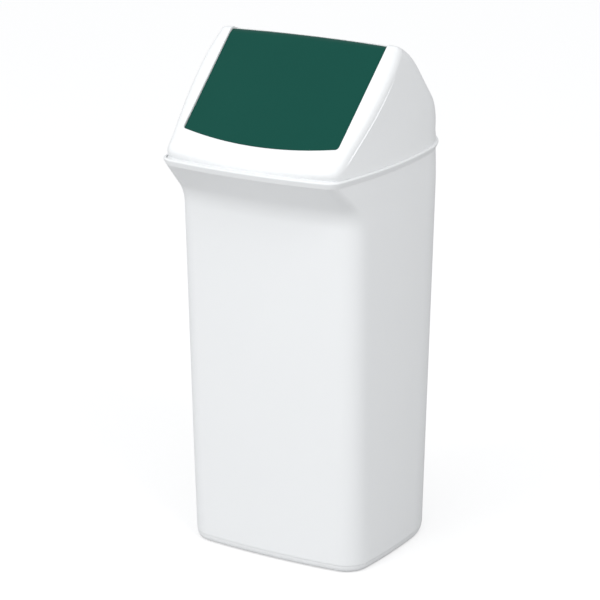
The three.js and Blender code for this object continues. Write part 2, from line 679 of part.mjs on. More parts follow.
function makeBush(sign) {
  const flangeFrom = bracketX - GAP - BUSH_FLANGE_T;
  const flange = [sign * flangeFrom, sign * (bracketX - GAP)].sort((a, b) => a - b);
  const sleeve = [sign * flangeFrom, sign * (bracketX + BUSH_LENGTH - 0.5)].sort((a, b) => a - b);
  const bore = [sign * (flangeFrom - 1), sign * (bracketX + BUSH_LENGTH + 1)].sort((a, b) => a - b);
  return rodX(bushRadius + BUSH_FLANGE, ...flange, PIVOT_Y, PIVOT_Z)
    .add(rodX(bushRadius, ...sleeve, PIVOT_Y, PIVOT_Z))
    .subtract(rodX(PIN_RADIUS + GAP, ...bore, PIVOT_Y, PIVOT_Z));
}

function makeBumper(sign) {
  const bottom = tabUpper + GAP;
  const top = ROLL_RADIUS + FRAME_PROUD - HOOD_WALL - GAP;
  const stop = new THREE.CylinderGeometry(BUMPER_RADIUS, BUMPER_RADIUS, top - bottom, 20);
  const turn = new THREE.Quaternion().setFromUnitVectors(new THREE.Vector3(0, 1, 0), flapNormal);
  stop.applyQuaternion(turn);
  const at = flapPoint(sign * BUMPER_X, bumperDown, (bottom + top) / 2);
  stop.translate(at.x, at.y, at.z);
  return solid(stop);
}

// ---------- the object ----------

const whitePlastic = new THREE.MeshStandardMaterial({ color: '#f1f3f3', roughness: 0.35 });
const greenPlastic = new THREE.MeshStandardMaterial({ color: '#21534a', roughness: 0.4 });
const acetal = new THREE.MeshStandardMaterial({ color: '#e9e6dc', roughness: 0.4 });
const rubber = new THREE.MeshStandardMaterial({ color: '#2a2b2c', roughness: 0.8 });
const steel = new THREE.MeshStandardMaterial({ color: '#b4b6b9', roughness: 0.3, metalness: 1 });

const bin = new THREE.Group();

function place(name, shape, material) {
  const mesh = new THREE.Mesh(geometryFrom(shape), material);
  mesh.name = name;
  bin.add(mesh);
}

place('bin_body', makeBody(), whitePlastic);
place('lid_hood', makeHood(), whitePlastic);
place('flap_panel', makeFlap(), greenPlastic);
place('flap_ballast_bar', makeBallast(), steel);
for (const [side, sign] of [['left', -1], ['right', 1]]) {
  place(`${side}_ballast_screw`, makeScrew(sign), steel);
  place(`${side}_pivot_pin`, makePin(sign), steel);
  place(`${side}_pivot_bush`, makeBush(sign), acetal);
  place(`${side}_flap_bumper`, makeBumper(sign), rubber);
}
for (const spot of footSpots) {
  place(spot.name, footCylinder(FOOT_RADIUS, 0, FOOT_STAND + FOOT_POCKET - GAP, spot), rubber);
}

export default bin;
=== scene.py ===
import math

import bmesh
import bpy
import numpy as np
from mathutils import Matrix, Vector


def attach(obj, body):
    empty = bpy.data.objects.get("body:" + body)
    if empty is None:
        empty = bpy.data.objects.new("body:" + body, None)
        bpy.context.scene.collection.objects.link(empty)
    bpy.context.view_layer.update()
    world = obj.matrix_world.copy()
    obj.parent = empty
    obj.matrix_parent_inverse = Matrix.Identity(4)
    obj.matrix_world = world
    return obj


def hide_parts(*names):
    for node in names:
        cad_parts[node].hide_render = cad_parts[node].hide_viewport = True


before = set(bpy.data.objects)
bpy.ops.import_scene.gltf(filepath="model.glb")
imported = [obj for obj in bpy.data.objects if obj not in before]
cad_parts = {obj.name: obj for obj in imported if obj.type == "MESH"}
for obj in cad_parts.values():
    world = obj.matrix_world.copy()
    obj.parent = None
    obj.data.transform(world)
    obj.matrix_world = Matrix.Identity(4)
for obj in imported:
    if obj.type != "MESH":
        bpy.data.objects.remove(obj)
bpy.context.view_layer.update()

# ---------------------------------------------------------------------------
# Camera: a long lens a little above the rim, turned round to the bin's right
# front corner.
VIEW_ROUND = math.radians(30.8)
VIEW_DOWN = math.radians(17.6)
EYE = (1.74915, -2.96093, 1.45208)
LENS = 150.2
SENSOR = 36.0

back = Vector((
    math.sin(VIEW_ROUND) * math.cos(VIEW_DOWN),
    -math.cos(VIEW_ROUND) * math.cos(VIEW_DOWN),
    math.sin(VIEW_DOWN),
))
right = Vector((math.cos(VIEW_ROUND), math.sin(VIEW_ROUND), 0.0))
turn = Matrix((right, back.cross(right), back)).transposed()
camera = bpy.data.objects.new("camera", bpy.data.cameras.new("camera"))
bpy.context.scene.collection.objects.link(camera)
bpy.context.scene.camera = camera
camera.data.sensor_width = SENSOR
camera.data.lens = LENS
camera.matrix_world = Matrix.Translation(EYE) @ turn.to_4x4()

# ---------------------------------------------------------------------------
# Studio: a wide matt white floor that is seen as an even glowing white, a pale
# surround that is brighter in front, and two large soft lights, the main one high
# in front on the left.
FLOOR_HALF = 30.0
FLOOR_BOUNCE = (0.51, 0.51, 0.51, 1.0)
FLOOR_SEEN = (0.50, 0.50, 0.50, 1.0)
FLOOR_GLOW = 0.56
SKY_COLOUR = (0.975, 0.985, 1.0, 1.0)
SKY_IN_FRONT = 1.13
SKY_BEHIND = 0.54


def white_floor():
    """Matt white paint, brighter to the eye than the light that it throws on the bin."""
    material = bpy.data.materials.new("matt_white_floor")
    material.use_nodes = True
    nodes, links = material.node_tree.nodes, material.node_tree.links
    bounce = nodes["Principled BSDF"]
    bounce.inputs["Base Color"].default_value = FLOOR_BOUNCE
    bounce.inputs["Roughness"].default_value = 0.9
    bounce.inputs["Specular IOR Level"].default_value = 0.1
    matt = nodes.new("ShaderNodeBsdfDiffuse")
    matt.inputs["Color"].default_value = FLOOR_SEEN
    glow = nodes.new("ShaderNodeEmission")
    glow.inputs["Strength"].default_value = FLOOR_GLOW
    seen = nodes.new("ShaderNodeAddShader")
    choice = nodes.new("ShaderNodeMixShader")
    ray = nodes.new("ShaderNodeLightPath")
    links.new(matt.outputs["BSDF"], seen.inputs[0])
    links.new(glow.outputs["Emission"], seen.inputs[1])
    links.new(ray.outputs["Is Camera Ray"], choice.inputs["Fac"])
    links.new(bounce.outputs["BSDF"], choice.inputs[1])
    links.new(seen.outputs["Shader"], choice.inputs[2])
    links.new(choice.outputs["Shader"], nodes["Material Output"].inputs["Surface"])
    return material


floor_mesh = bpy.data.meshes.new("studio_floor")
floor_mesh.from_pydata(
    [(-FLOOR_HALF, -FLOOR_HALF, 0), (FLOOR_HALF, -FLOOR_HALF, 0),
     (FLOOR_HALF, FLOOR_HALF, 0), (-FLOOR_HALF, FLOOR_HALF, 0)],
    [], [(0, 1, 2, 3)],
)
floor_mesh.materials.append(white_floor())
floor = bpy.data.objects.new("studio_floor", floor_mesh)
bpy.context.scene.collection.objects.link(floor)


def pale_surround():
    """A world whose light fades evenly from the front of the studio to its back."""
    world = bpy.data.worlds.new("pale_surround")
    world.use_nodes = True
    nodes, links = world.node_tree.nodes, world.node_tree.links
    towards = nodes.new("ShaderNodeTexCoord")
    split = nodes.new("ShaderNodeSeparateXYZ")
    fade = nodes.new("ShaderNodeMapRange")
    fade.inputs["From Min"].default_value = -1.0
    fade.inputs["From Max"].default_value = 1.0
    fade.inputs["To Min"].default_value = SKY_IN_FRONT
    fade.inputs["To Max"].default_value = SKY_BEHIND
    sky = nodes["Background"]
    sky.inputs["Color"].default_value = SKY_COLOUR
    links.new(towards.outputs["Generated"], split.inputs["Vector"])
    links.new(split.outputs["Y"], fade.inputs["Value"])
    links.new(fade.outputs["Result"], sky.inputs["Strength"])
    return world


bpy.context.scene.world = pale_surround()


def soft_light(name, place, aim, width, watts):
    """A square soft light at a place, turned towards its aim."""
    data = bpy.data.lights.new(name, "AREA")
    data.shape = "SQUARE"
    data.size = width
    data.energy = watts
    lamp = bpy.data.objects.new(name, data)
    bpy.context.scene.collection.objects.link(lamp)
    lamp.location = place
    lamp.rotation_mode = "QUATERNION"
    lamp.rotation_quaternion = (Vector(aim) - Vector(place)).to_track_quat("-Z", "Y")


soft_light("main_light", (-1.5, -4.1, 2.0), (0, 0, 0.4), 2.4, 50)
soft_light("side_light", (2.1, -1.1, 2.7), (0, 0, 0.65), 1.4, 21)
bpy.context.scene.view_settings.view_transform = "Standard"

# ---------------------------------------------------------------------------
# Bin body: one injection-moulded shell of white polypropylene. Its plan is four
# bowed sides with small front corners and large rear ones, the front wall turns
# out under the rim, and a raised band stiffens the rim.
RIM_HEIGHT = 0.592
BAND_HEIGHT = 0.010
BAND_PROUD = 0.004
BAND_WALL = 0.0036
LEDGE_DEPTH = 0.007
BODY_WALL = 0.003
FLOOR_TOP = 0.0055
UNDERSIDE = 0.0009
BASE_BAND = 0.012
FLARE_START = 0.512
FLARE_RADIUS = 0.048
FLARE_ANGLE = math.radians(45)
FRONT_DRAFT = 0.0127
PLAN_EASE = 0.2
BASE_ROUND = 0.0104
BASE_ROUND_DEPTH = 0.0064
BASE_STEP = 0.0005
BAND_SLANT = math.radians(24)
BEAD = 0.0022
INNER_SOFT = 0.0003
LEDGE_SOFT = 0.0006
FLOOR_ROUND = 0.008
WALL_ROWS = 12
FLARE_ROWS = 26
PLAN_STEPS = (22, 12, 26, 30, 10)
WHITE = (0.85, 0.86, 0.865)
QUARTER = math.pi / 2

rim_plan = {
    "width": 0.320, "front": -0.183, "rear": 0.183, "front_bow": 0.830, "side_bow": 0.710,
    "rear_bow": 1.860, "front_corner": 0.024, "rear_corner": 0.119,
}
base_plan = {
    "width": 0.2963, "front": -0.1156, "rear": 0.1636, "front_bow": 1.080, "side_bow": 0.976,
    "rear_bow": 2.650, "front_corner": 0.038, "rear_corner": 0.114,
}


def inset(plan, depth):
    """The same outline moved inwards all round."""
    moved = {key: value - depth for key, value in plan.items()}
    moved["width"] = plan["width"] - 2 * depth
    moved["front"] = plan["front"] + depth
    return moved


def corner_centre(ax, ay, a_reach, bx, by, b_reach, to_rear):
    """The point at the given distances from a and b, on the right-hand side."""
    dx, dy = bx - ax, by - ay
    length = np.hypot(dx, dy)
    along = (a_reach ** 2 - b_reach ** 2 + length ** 2) / (2 * length)
    across = np.sqrt(np.maximum(a_reach ** 2 - along ** 2, 0))
    ux, uy = dx / length, dy / length
    one = (ax + ux * along - uy * across, ay + uy * along + ux * across)
    two = (ax + ux * along + uy * across, ay + uy * along - ux * across)
    first = one[0] + to_rear * one[1] > two[0] + to_rear * two[1]
    return np.where(first, one[0], two[0]), np.where(first, one[1], two[1])


def plan_centres(plan):
    """Centres of the front, front corner, side, rear corner and rear arcs of the right half."""
    front = (0.0, plan["front"] + plan["front_bow"])
    side = (plan["width"] / 2 - plan["side_bow"], (plan["front"] + plan["rear"]) / 2)
    rear = (0.0, plan["rear"] - plan["rear_bow"])
    small, large = plan["front_corner"], plan["rear_corner"]
    low = corner_centre(*front, plan["front_bow"] - small, *side, plan["side_bow"] - small, -1)
    high = corner_centre(*side, plan["side_bow"] - large, *rear, plan["rear_bow"] - large, 1)
    return front, low, side, high, rear


def heading(a, b):
    """The direction from a to b in plan."""
    return math.atan2(b[1] - a[1], b[0] - a[0])


def plan_loop(plan, z):
    """The outline as points at height z, counter-clockwise from the middle of the front."""
    front, low, side, high, rear = plan_centres(plan)
    turns = [
        -QUARTER, heading(front, low), heading(side, low),
        heading(side, high), heading(rear, high), QUARTER,
    ]
    radii = [plan[key] for key in ("front_bow", "front_corner", "side_bow", "rear_corner", "rear_bow")]
    half = [(0.0, plan["front"])]
    for k, (centre, radius, steps) in enumerate(zip((front, low, side, high, rear), radii, PLAN_STEPS)):
        for angle in np.linspace(turns[k], turns[k + 1], steps + 1)[1:]:
            half.append((centre[0] + radius * math.cos(angle), centre[1] + radius * math.sin(angle)))
    other = [(-x, y) for x, y in half[1:-1][::-1]]
    return np.array([(x, y, z) for x, y in half + other])


def closed_piece(name, vertices, faces, sharp=40):
    """A mesh object from vertices and faces, facing outwards, with edges over `sharp` degrees kept crisp."""
    mesh = bpy.data.meshes.new(name)
    mesh.from_pydata([tuple(v) for v in vertices], [], faces)
    shell = bmesh.new()
    shell.from_mesh(mesh)
    if shell.calc_volume(signed=True) < 0:
        bmesh.ops.reverse_faces(shell, faces=shell.faces[:])
    shell.to_mesh(mesh)
    shell.free()
    mesh.shade_smooth()
    mesh.set_sharp_from_angle(angle=math.radians(sharp))
    piece = bpy.data.objects.new(name, mesh)
    bpy.context.scene.collection.objects.link(piece)
    return piece


def skin_rows(rows, start_pole=None, end_pole=None, ring=False):
    """Vertices and faces of a skin over closed rows of points, with a pole at either end, or a ring."""
    count = len(rows[0])
    vertices = [tuple(p) for row in rows for p in row]
    faces = []
    for r in range(len(rows) if ring else len(rows) - 1):
        low = r * count
        high = ((r + 1) % len(rows)) * count
        for i in range(count):
            j = (i + 1) % count
            faces.append((low + i, low + j, high + j, high + i))
    for pole, row, flip in ((start_pole, 0, True), (end_pole, len(rows) - 1, False)):
        if pole is None:
            continue
        vertices.append(tuple(pole))
        for i in range(count):
            j = (i + 1) % count
            edge = (row * count + j, row * count + i) if flip else (row * count + i, row * count + j)
            faces.append((*edge, len(vertices) - 1))
    return vertices, faces


def mix_plans(a, b, share):
    """The outline that lies between two others."""
    return {key: a[key] + (b[key] - a[key]) * share for key in a}


band_bottom = RIM_HEIGHT - BAND_HEIGHT
under_band = inset(rim_plan, BAND_PROUD)


def flare_out(z):
    """How far the front wall has turned out at height z: an arc, then a straight slope."""
    rise = max(z - FLARE_START, 0.0)
    arc_rise = FLARE_RADIUS * math.sin(FLARE_ANGLE)
    if rise < arc_rise:
        return FLARE_RADIUS - math.sqrt(FLARE_RADIUS ** 2 - rise ** 2)
    return FLARE_RADIUS * (1 - math.cos(FLARE_ANGLE)) + (rise - arc_rise) * math.tan(FLARE_ANGLE)


def wall_plan(z):
    """The outline of the wall's outside at height z: a tapered tub that flares at the front."""
    up = (z - BASE_BAND) / (band_bottom - BASE_BAND)
    flared = min(max((z - FLARE_START) / (band_bottom - FLARE_START), 0.0), 1.0)
    plan = mix_plans(base_plan, under_band, up)
    eased = mix_plans(base_plan, under_band, min(up, PLAN_EASE))
    lean = FRONT_DRAFT * min(max((z - BASE_BAND) / (FLARE_START - BASE_BAND), 0.0), 1.0)
    reach = under_band["front"] - (base_plan["front"] - FRONT_DRAFT)
    plan["front"] = base_plan["front"] - lean + reach * flare_out(z) / flare_out(band_bottom)
    for key in ("front_bow", "side_bow", "front_corner"):
        plan[key] = eased[key] + (under_band[key] - eased[key]) * flared
    return plan


def angles_to(end, count, start=0.0):
    """Evenly spaced angles for a rounded edge, both ends included."""
    return [start + (end - start) * k / count for k in range(count + 1)]


body_rows = []


def body_row(plan, depth, z):
    """Adds one row of points to the tub's skin: an outline moved in by depth, at height z."""
    body_rows.append(plan_loop(inset(plan, depth), z))


# the underside's round edge and the small step above it
for angle in angles_to(QUARTER, 10):
    depth = BASE_STEP + BASE_ROUND_DEPTH * (1 - math.sin(angle))
    body_row(base_plan, depth, UNDERSIDE + BASE_ROUND * (1 - math.cos(angle)))
body_row(base_plan, BASE_STEP * 0.3, BASE_BAND - 0.0003)

# the wall, with closer rows where it flares
wall_heights = [BASE_BAND, BASE_BAND + 0.002, *np.linspace(0.05, FLARE_START - 0.004, WALL_ROWS)]
wall_heights += list(np.linspace(FLARE_START, band_bottom - 0.0008, FLARE_ROWS))
for z in wall_heights:
    body_row(wall_plan(z), 0, z)

# the rim band: a slanted face and a round bead on top
bead_z = RIM_HEIGHT - BEAD
face_low = band_bottom + 0.0004
face_low_inset = BEAD * (1 - math.cos(BAND_SLANT)) + (bead_z - face_low) * math.tan(BAND_SLANT)
body_row(rim_plan, face_low_inset + 0.0005, band_bottom)
body_row(rim_plan, face_low_inset + 0.0001, band_bottom + 0.0001)
body_row(rim_plan, face_low_inset, face_low)
for angle in angles_to(QUARTER, 8, -BAND_SLANT):
    body_row(rim_plan, BEAD * (1 - math.cos(angle)), bead_z + BEAD * math.sin(angle))

# inside the band, down to the ledge that the hood stands on
for angle in angles_to(QUARTER, 2):
    depth = BAND_WALL - INNER_SOFT * (1 - math.sin(angle))
    body_row(rim_plan, depth, RIM_HEIGHT - INNER_SOFT * (1 - math.cos(angle)))
ledge = RIM_HEIGHT - LEDGE_DEPTH
body_row(rim_plan, BAND_WALL, ledge + INNER_SOFT)
body_row(rim_plan, BAND_WALL + INNER_SOFT, ledge)
body_row(rim_plan, BAND_PROUD + BODY_WALL - LEDGE_SOFT, ledge)
body_row(rim_plan, BAND_PROUD + BODY_WALL, ledge - LEDGE_SOFT)

# the wall's inside and the round corner of the floor
for z in reversed(wall_heights[4:]):
    body_row(wall_plan(z), BODY_WALL, z)
for angle in angles_to(QUARTER, 5):
    depth = BODY_WALL + FLOOR_ROUND * (1 - math.cos(angle))
    body_row(base_plan, depth, FLOOR_TOP + FLOOR_ROUND * (1 - math.sin(angle)))
middle_y = (base_plan["front"] + base_plan["rear"]) / 2
body = closed_piece("bin_shell", *skin_rows(body_rows, (0, middle_y, UNDERSIDE), (0, middle_y, FLOOR_TOP)))


def started_material(name):
    """A new material, its tree, its shader, and the piece's own coordinates for its patterns."""
    material = bpy.data.materials.new(name)
    material.use_nodes = True
    tree = material.node_tree
    place = tree.nodes.new("ShaderNodeTexCoord").outputs["Object"]
    return material, tree, tree.nodes["Principled BSDF"], place


def noise_on(tree, place, scale, detail=2.0):
    """A cloudy pattern over the given coordinates."""
    noise = tree.nodes.new("ShaderNodeTexNoise")
    noise.inputs["Scale"].default_value = scale
    noise.inputs["Detail"].default_value = detail
    tree.links.new(place, noise.inputs["Vector"])
    return noise.outputs["Fac"]


def tint_by(tree, shader, pattern, dark, light):
    """Lets a pattern blend two close colours."""
    colour = tree.nodes.new("ShaderNodeMix")
    colour.data_type = "RGBA"
    colour.inputs["A"].default_value = (*dark, 1.0)
    colour.inputs["B"].default_value = (*light, 1.0)
    tree.links.new(pattern, colour.inputs["Factor"])
    tree.links.new(colour.outputs["Result"], shader.inputs["Base Color"])


def dull_by(tree, shader, pattern, low, high, start=0.0, end=1.0):
    """Lets a pattern, from start to end, vary the roughness from low to high."""
    spread = tree.nodes.new("ShaderNodeMapRange")
    spread.inputs["From Min"].default_value = start
    spread.inputs["From Max"].default_value = end
    spread.inputs["To Min"].default_value = low
    spread.inputs["To Max"].default_value = high
    tree.links.new(pattern, spread.inputs["Value"])
    tree.links.new(spread.outputs["Result"], shader.inputs["Roughness"])


def relief_by(tree, shader, pattern, strength, depth):
    """Lets a pattern raise a fine relief."""
    bump = tree.nodes.new("ShaderNodeBump")
    bump.inputs["Strength"].default_value = strength
    bump.inputs["Distance"].default_value = depth
    tree.links.new(pattern, bump.inputs["Height"])
    tree.links.new(bump.outputs["Normal"], shader.inputs["Normal"])


def white_plastic():
    """White polypropylene: faint flow clouds, a thin film of scuffs and a fine moulded grain."""
    material, tree, shader, place = started_material("white_polypropylene")
    shader.inputs["Specular IOR Level"].default_value = 0.42
    shader.inputs["IOR"].default_value = 1.49
    tint_by(tree, shader, noise_on(tree, place, 9.0, 4.0), [c * 0.985 for c in WHITE], WHITE)
    dull_by(tree, shader, noise_on(tree, place, 60.0, 6.0), 0.34, 0.44, 0.35, 0.65)
    relief_by(tree, shader, noise_on(tree, place, 1400.0), 0.10, 0.0002)
    return material


shell_white = white_plastic()
body.data.materials.append(shell_white)
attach(body, "bin")
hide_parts("bin_body")

# ---------------------------------------------------------------------------
# Feet: four small pads of black rubber pressed up into the bin's
# underside. Each has a chamfered lower edge and short radial grip ribs.
FOOT_SPOTS = [(-0.10615, -0.0736, 0), (0.10615, -0.0736, 0), (-0.08935, 0.1111, 0), (0.08935, 0.1111, 0)]
FOOT_SIZES = {
    "Radius": 0.011, "Height": 0.003, "Chamfer": 0.0009, "Rib Height": 0.0006, "Rib Width": 0.0011,
    "Rib Length": 0.0055, "Rib Count": 14,
}
FOOT_SIDES = 48
RIB_RING_SHARE = 0.58


def tree_with(name, sizes, result):
    """An empty node tree with a geometry input and the named sizes, ready to fill."""
    tree = bpy.data.node_groups.new(name, "GeometryNodeTree")
    tree.interface.new_socket("Spots", in_out="INPUT", socket_type="NodeSocketGeometry")
    for label, size in sizes.items():
        kind = "NodeSocketInt" if isinstance(size, int) else "NodeSocketFloat"
        tree.interface.new_socket(label, in_out="INPUT", socket_type=kind).default_value = size
    tree.interface.new_socket(result, in_out="OUTPUT", socket_type="NodeSocketGeometry")
    return tree, tree.nodes.new("NodeGroupInput"), tree.nodes.new("NodeGroupOutput")


def worked_out(tree, operation, a, b):
    """The result of one sum in a tree: a and b are numbers or sockets."""
    sum_node = tree.nodes.new("ShaderNodeMath")
    sum_node.operation = operation
    for socket, value in zip(sum_node.inputs, (a, b)):
        if isinstance(value, (int, float)):
            socket.default_value = value
        else:
            tree.links.new(value, socket)
    return sum_node.outputs[0]


def as_vector(tree, *parts):
    """A vector socket from three numbers or sockets."""
    joined_up = tree.nodes.new("ShaderNodeCombineXYZ")
    for socket, value in zip(joined_up.inputs, parts):
        if isinstance(value, (int, float)):
            socket.default_value = value
        else:
            tree.links.new(value, socket)
    return joined_up.outputs[0]


def moved_by(tree, geometry, offset):
    """The geometry shifted by a vector socket."""
    shift_node = tree.nodes.new("GeometryNodeTransform")
    tree.links.new(geometry, shift_node.inputs["Geometry"])
    tree.links.new(offset, shift_node.inputs["Translation"])
    return shift_node.outputs[0]


def put_on(tree, spots, piece, flatten, axis):
    """The piece on every point, its axis turned away from the middle along the kept directions."""
    place = tree.nodes.new("GeometryNodeInputPosition")
    keep = tree.nodes.new("ShaderNodeVectorMath")
    keep.operation = "MULTIPLY"
    keep.inputs[1].default_value = flatten
    face_out = tree.nodes.new("FunctionNodeAlignRotationToVector")
    face_out.axis = axis
    copies = tree.nodes.new("GeometryNodeInstanceOnPoints")
    tree.links.new(place.outputs[0], keep.inputs[0])
    tree.links.new(keep.outputs[0], face_out.inputs["Vector"])
    tree.links.new(spots, copies.inputs["Points"])
    tree.links.new(piece, copies.inputs["Instance"])
    if any(flatten):
        tree.links.new(face_out.outputs[0], copies.inputs["Rotation"])
    return copies.outputs[0]


def closed_off(tree, geometry, material, out):
    """Realises the copies, gives them their material and passes them out."""
    real = tree.nodes.new("GeometryNodeRealizeInstances")
    dress = tree.nodes.new("GeometryNodeSetMaterial")
    dress.inputs["Material"].default_value = material
    tree.links.new(geometry, real.inputs[0])
    tree.links.new(real.outputs[0], dress.inputs["Geometry"])
    tree.links.new(dress.outputs[0], out.inputs[0])


def grown_piece(name, spots, tree, sizes):
    """Runs a tree on the given points and keeps the result as a plain mesh object."""
    seeds = bpy.data.meshes.new(name + "_spots")
    seeds.from_pydata(spots, [], [])
    holder = bpy.data.objects.new(name + "_spots", seeds)
    modifier = holder.modifiers.new("grow", "NODES")
    modifier.node_group = tree
    for port in tree.interface.items_tree:
        if port.item_type == "SOCKET" and port.in_out == "INPUT" and port.name in sizes:
            modifier[port.identifier] = sizes[port.name]
    bpy.context.scene.collection.objects.link(holder)
    mesh = bpy.data.meshes.new_from_object(holder.evaluated_get(bpy.context.evaluated_depsgraph_get()))
    holder.modifiers.remove(modifier)
    bpy.data.objects.remove(holder)
    mesh.name = name
    mesh.shade_smooth()
    mesh.set_sharp_from_angle(angle=math.radians(32))
    piece = bpy.data.objects.new(name, mesh)
    bpy.context.scene.collection.objects.link(piece)
    return piece


def black_rubber():
    """Moulded black rubber: a dull skin with fine grain and a little pale dust."""
    material, tree, shader, place = started_material("black_rubber")
    shader.inputs["Specular IOR Level"].default_value = 0.3
    dust = noise_on(tree, place, 220.0, 6.0)
    tint_by(tree, shader, dust, (0.016, 0.016, 0.017), (0.040, 0.040, 0.039))
    dull_by(tree, shader, dust, 0.62, 0.88)
    relief_by(tree, shader, noise_on(tree, place, 1800.0), 0.3, 0.0001)
    return material


rubber = black_rubber()
foot_tree, foot_ports, feet_out = tree_with("grip_foot", FOOT_SIZES, "Feet")
foot = foot_ports.outputs

# the chamfered lower end stands on the ribs
foot_cone = foot_tree.nodes.new("GeometryNodeMeshCone")
foot_cone.inputs["Vertices"].default_value = FOOT_SIDES
chamfered = worked_out(foot_tree, "SUBTRACT", foot["Radius"], foot["Chamfer"])
foot_tree.links.new(foot["Radius"], foot_cone.inputs["Radius Top"])
foot_tree.links.new(chamfered, foot_cone.inputs["Radius Bottom"])
foot_tree.links.new(foot["Chamfer"], foot_cone.inputs["Depth"])
low_end = moved_by(foot_tree, foot_cone.outputs["Mesh"], as_vector(foot_tree, 0, 0, foot["Rib Height"]))

# the round pad goes on up into the bin's underside
foot_pad = foot_tree.nodes.new("GeometryNodeMeshCylinder")
foot_pad.inputs["Vertices"].default_value = FOOT_SIDES
foot_tree.links.new(foot["Radius"], foot_pad.inputs["Radius"])
pad_low = worked_out(foot_tree, "ADD", foot["Rib Height"], foot["Chamfer"])
pad_deep = worked_out(foot_tree, "SUBTRACT", foot["Height"], pad_low)
foot_tree.links.new(pad_deep, foot_pad.inputs["Depth"])
pad_middle = worked_out(foot_tree, "ADD", pad_low, worked_out(foot_tree, "MULTIPLY", pad_deep, 0.5))
high_end = moved_by(foot_tree, foot_pad.outputs["Mesh"], as_vector(foot_tree, 0, 0, pad_middle))

# the grip ribs stand in a ring, each pointing away from the middle
rib_ring = foot_tree.nodes.new("GeometryNodeMeshCircle")
ring_radius = worked_out(foot_tree, "MULTIPLY", foot["Radius"], RIB_RING_SHARE)
foot_tree.links.new(foot["Rib Count"], rib_ring.inputs["Vertices"])
foot_tree.links.new(ring_radius, rib_ring.inputs["Radius"])
rib = foot_tree.nodes.new("GeometryNodeMeshCube")
rib_size = as_vector(foot_tree, foot["Rib Length"], foot["Rib Width"], foot["Rib Height"])
foot_tree.links.new(rib_size, rib.inputs["Size"])
ribs = put_on(foot_tree, rib_ring.outputs[0], rib.outputs["Mesh"], (1, 1, 0), "X")
rib_middle = worked_out(foot_tree, "MULTIPLY", foot["Rib Height"], 0.5)
ribs = moved_by(foot_tree, ribs, as_vector(foot_tree, 0, 0, rib_middle))

whole_foot = foot_tree.nodes.new("GeometryNodeJoinGeometry")
for some in (low_end, high_end, ribs):
    foot_tree.links.new(some, whole_foot.inputs[0])
feet_placed = put_on(foot_tree, foot["Spots"], whole_foot.outputs[0], (0, 0, 0), "Z")
closed_off(foot_tree, feet_placed, rubber, feet_out)
feet = grown_piece("grip_feet", FOOT_SPOTS, foot_tree, FOOT_SIZES)
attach(feet, "bin")
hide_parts("left_front_foot", "right_front_foot", "left_rear_foot", "right_rear_foot")

# ---------------------------------------------------------------------------
# Lid hood: a second white moulding that stands inside the rim. A sloping frame
# with round edges holds the flap, the rear falls away in a long slope, and two
# round lugs under the ridge carry the flap's pivots.
SKIRT_GAP = 0.0002
HOOD_WALL = 0.0026
HOOD_EDGE = 0.0005
SIDE_LEAN = 0.04
HEIGHT = 0.747
SHOULDER = 0.080
SHOULDER_Z = 0.5935
REAR_SLOPE = math.radians(37.5)
REAR_STRAIGHT = 0.083
CROWN = 0.260
SHRINK_FROM = 0.608
RIDGE_CORNER = 0.016
PIVOT_Y = 0.0004
PIVOT_Z = 0.7298
FLAP_SLOPE = math.radians(42.2)
ROLL_RADIUS = 0.015
FRAME_PROUD = 0.0025
FLAP_LENGTH = 0.1816
FLAP_RISE = 0.014
FLAP_TOP_HALF = 0.1256
FLAP_LOW_HALF = 0.1236
FLAP_CROWN = 0.0023
OPENING_GAP = 0.0007
OPENING_BACK = 0.0137
OPENING_LOW_CORNER = 0.0042
OPENING_TOP_CORNER = 0.0060
EDGE_ROUND = 0.0135
NOSE_ROUND = 0.009
LEAST_ROUND = 0.0012
COVE_Z = 0.5912
COVE_TOP = 0.613
COVE_DEPTH = 0.0078
COVE_LEAD = 0.0022
COVE_EASE = 1.6
CREASE_STEP = 0.0015
CREASE_IN = (0.600, 0.622)
CREASE_OUT = (0.672, 0.722)
LIP = 0.0008
RETURN_WALL = 0.0016
RETURN_DEPTH = 0.0088
BRACKET_FROM = 0.1320
BRACKET_WALL = 0.0040
LUG_RADIUS = 0.0157
LUG_HALF = 0.015
LUG_CORNER = 0.0175
LUG_SIDES = 48
BUSH_RADIUS = 0.0075
BUSH_FIT = 0.0003
CREASE_HALF = 0.0016
FOOT_CORNER_X = 0.149
FOOT_TOP_SHARE = 0.70
HALF_STATIONS = 170
CAST_FROM = np.array([0.0, 0.015, 0.560])

hood_foot = inset(rim_plan, BAND_WALL + SKIRT_GAP)
slope_normal = np.array([0.0, -math.sin(FLAP_SLOPE), math.cos(FLAP_SLOPE)])
slope_down = np.array([0.0, -math.cos(FLAP_SLOPE), -math.sin(FLAP_SLOPE)])
pivot = np.array([0.0, PIVOT_Y, PIVOT_Z])


def flap_point(x, down, up):
    """A place on the flap's slope: across, down from the pivot axis and up off the slope."""
    x, down, up = np.broadcast_arrays(x, down, up)
    level = pivot + np.stack([x, 0 * x, 0 * x], -1)
    return level + down[..., None] * slope_down + up[..., None] * slope_normal


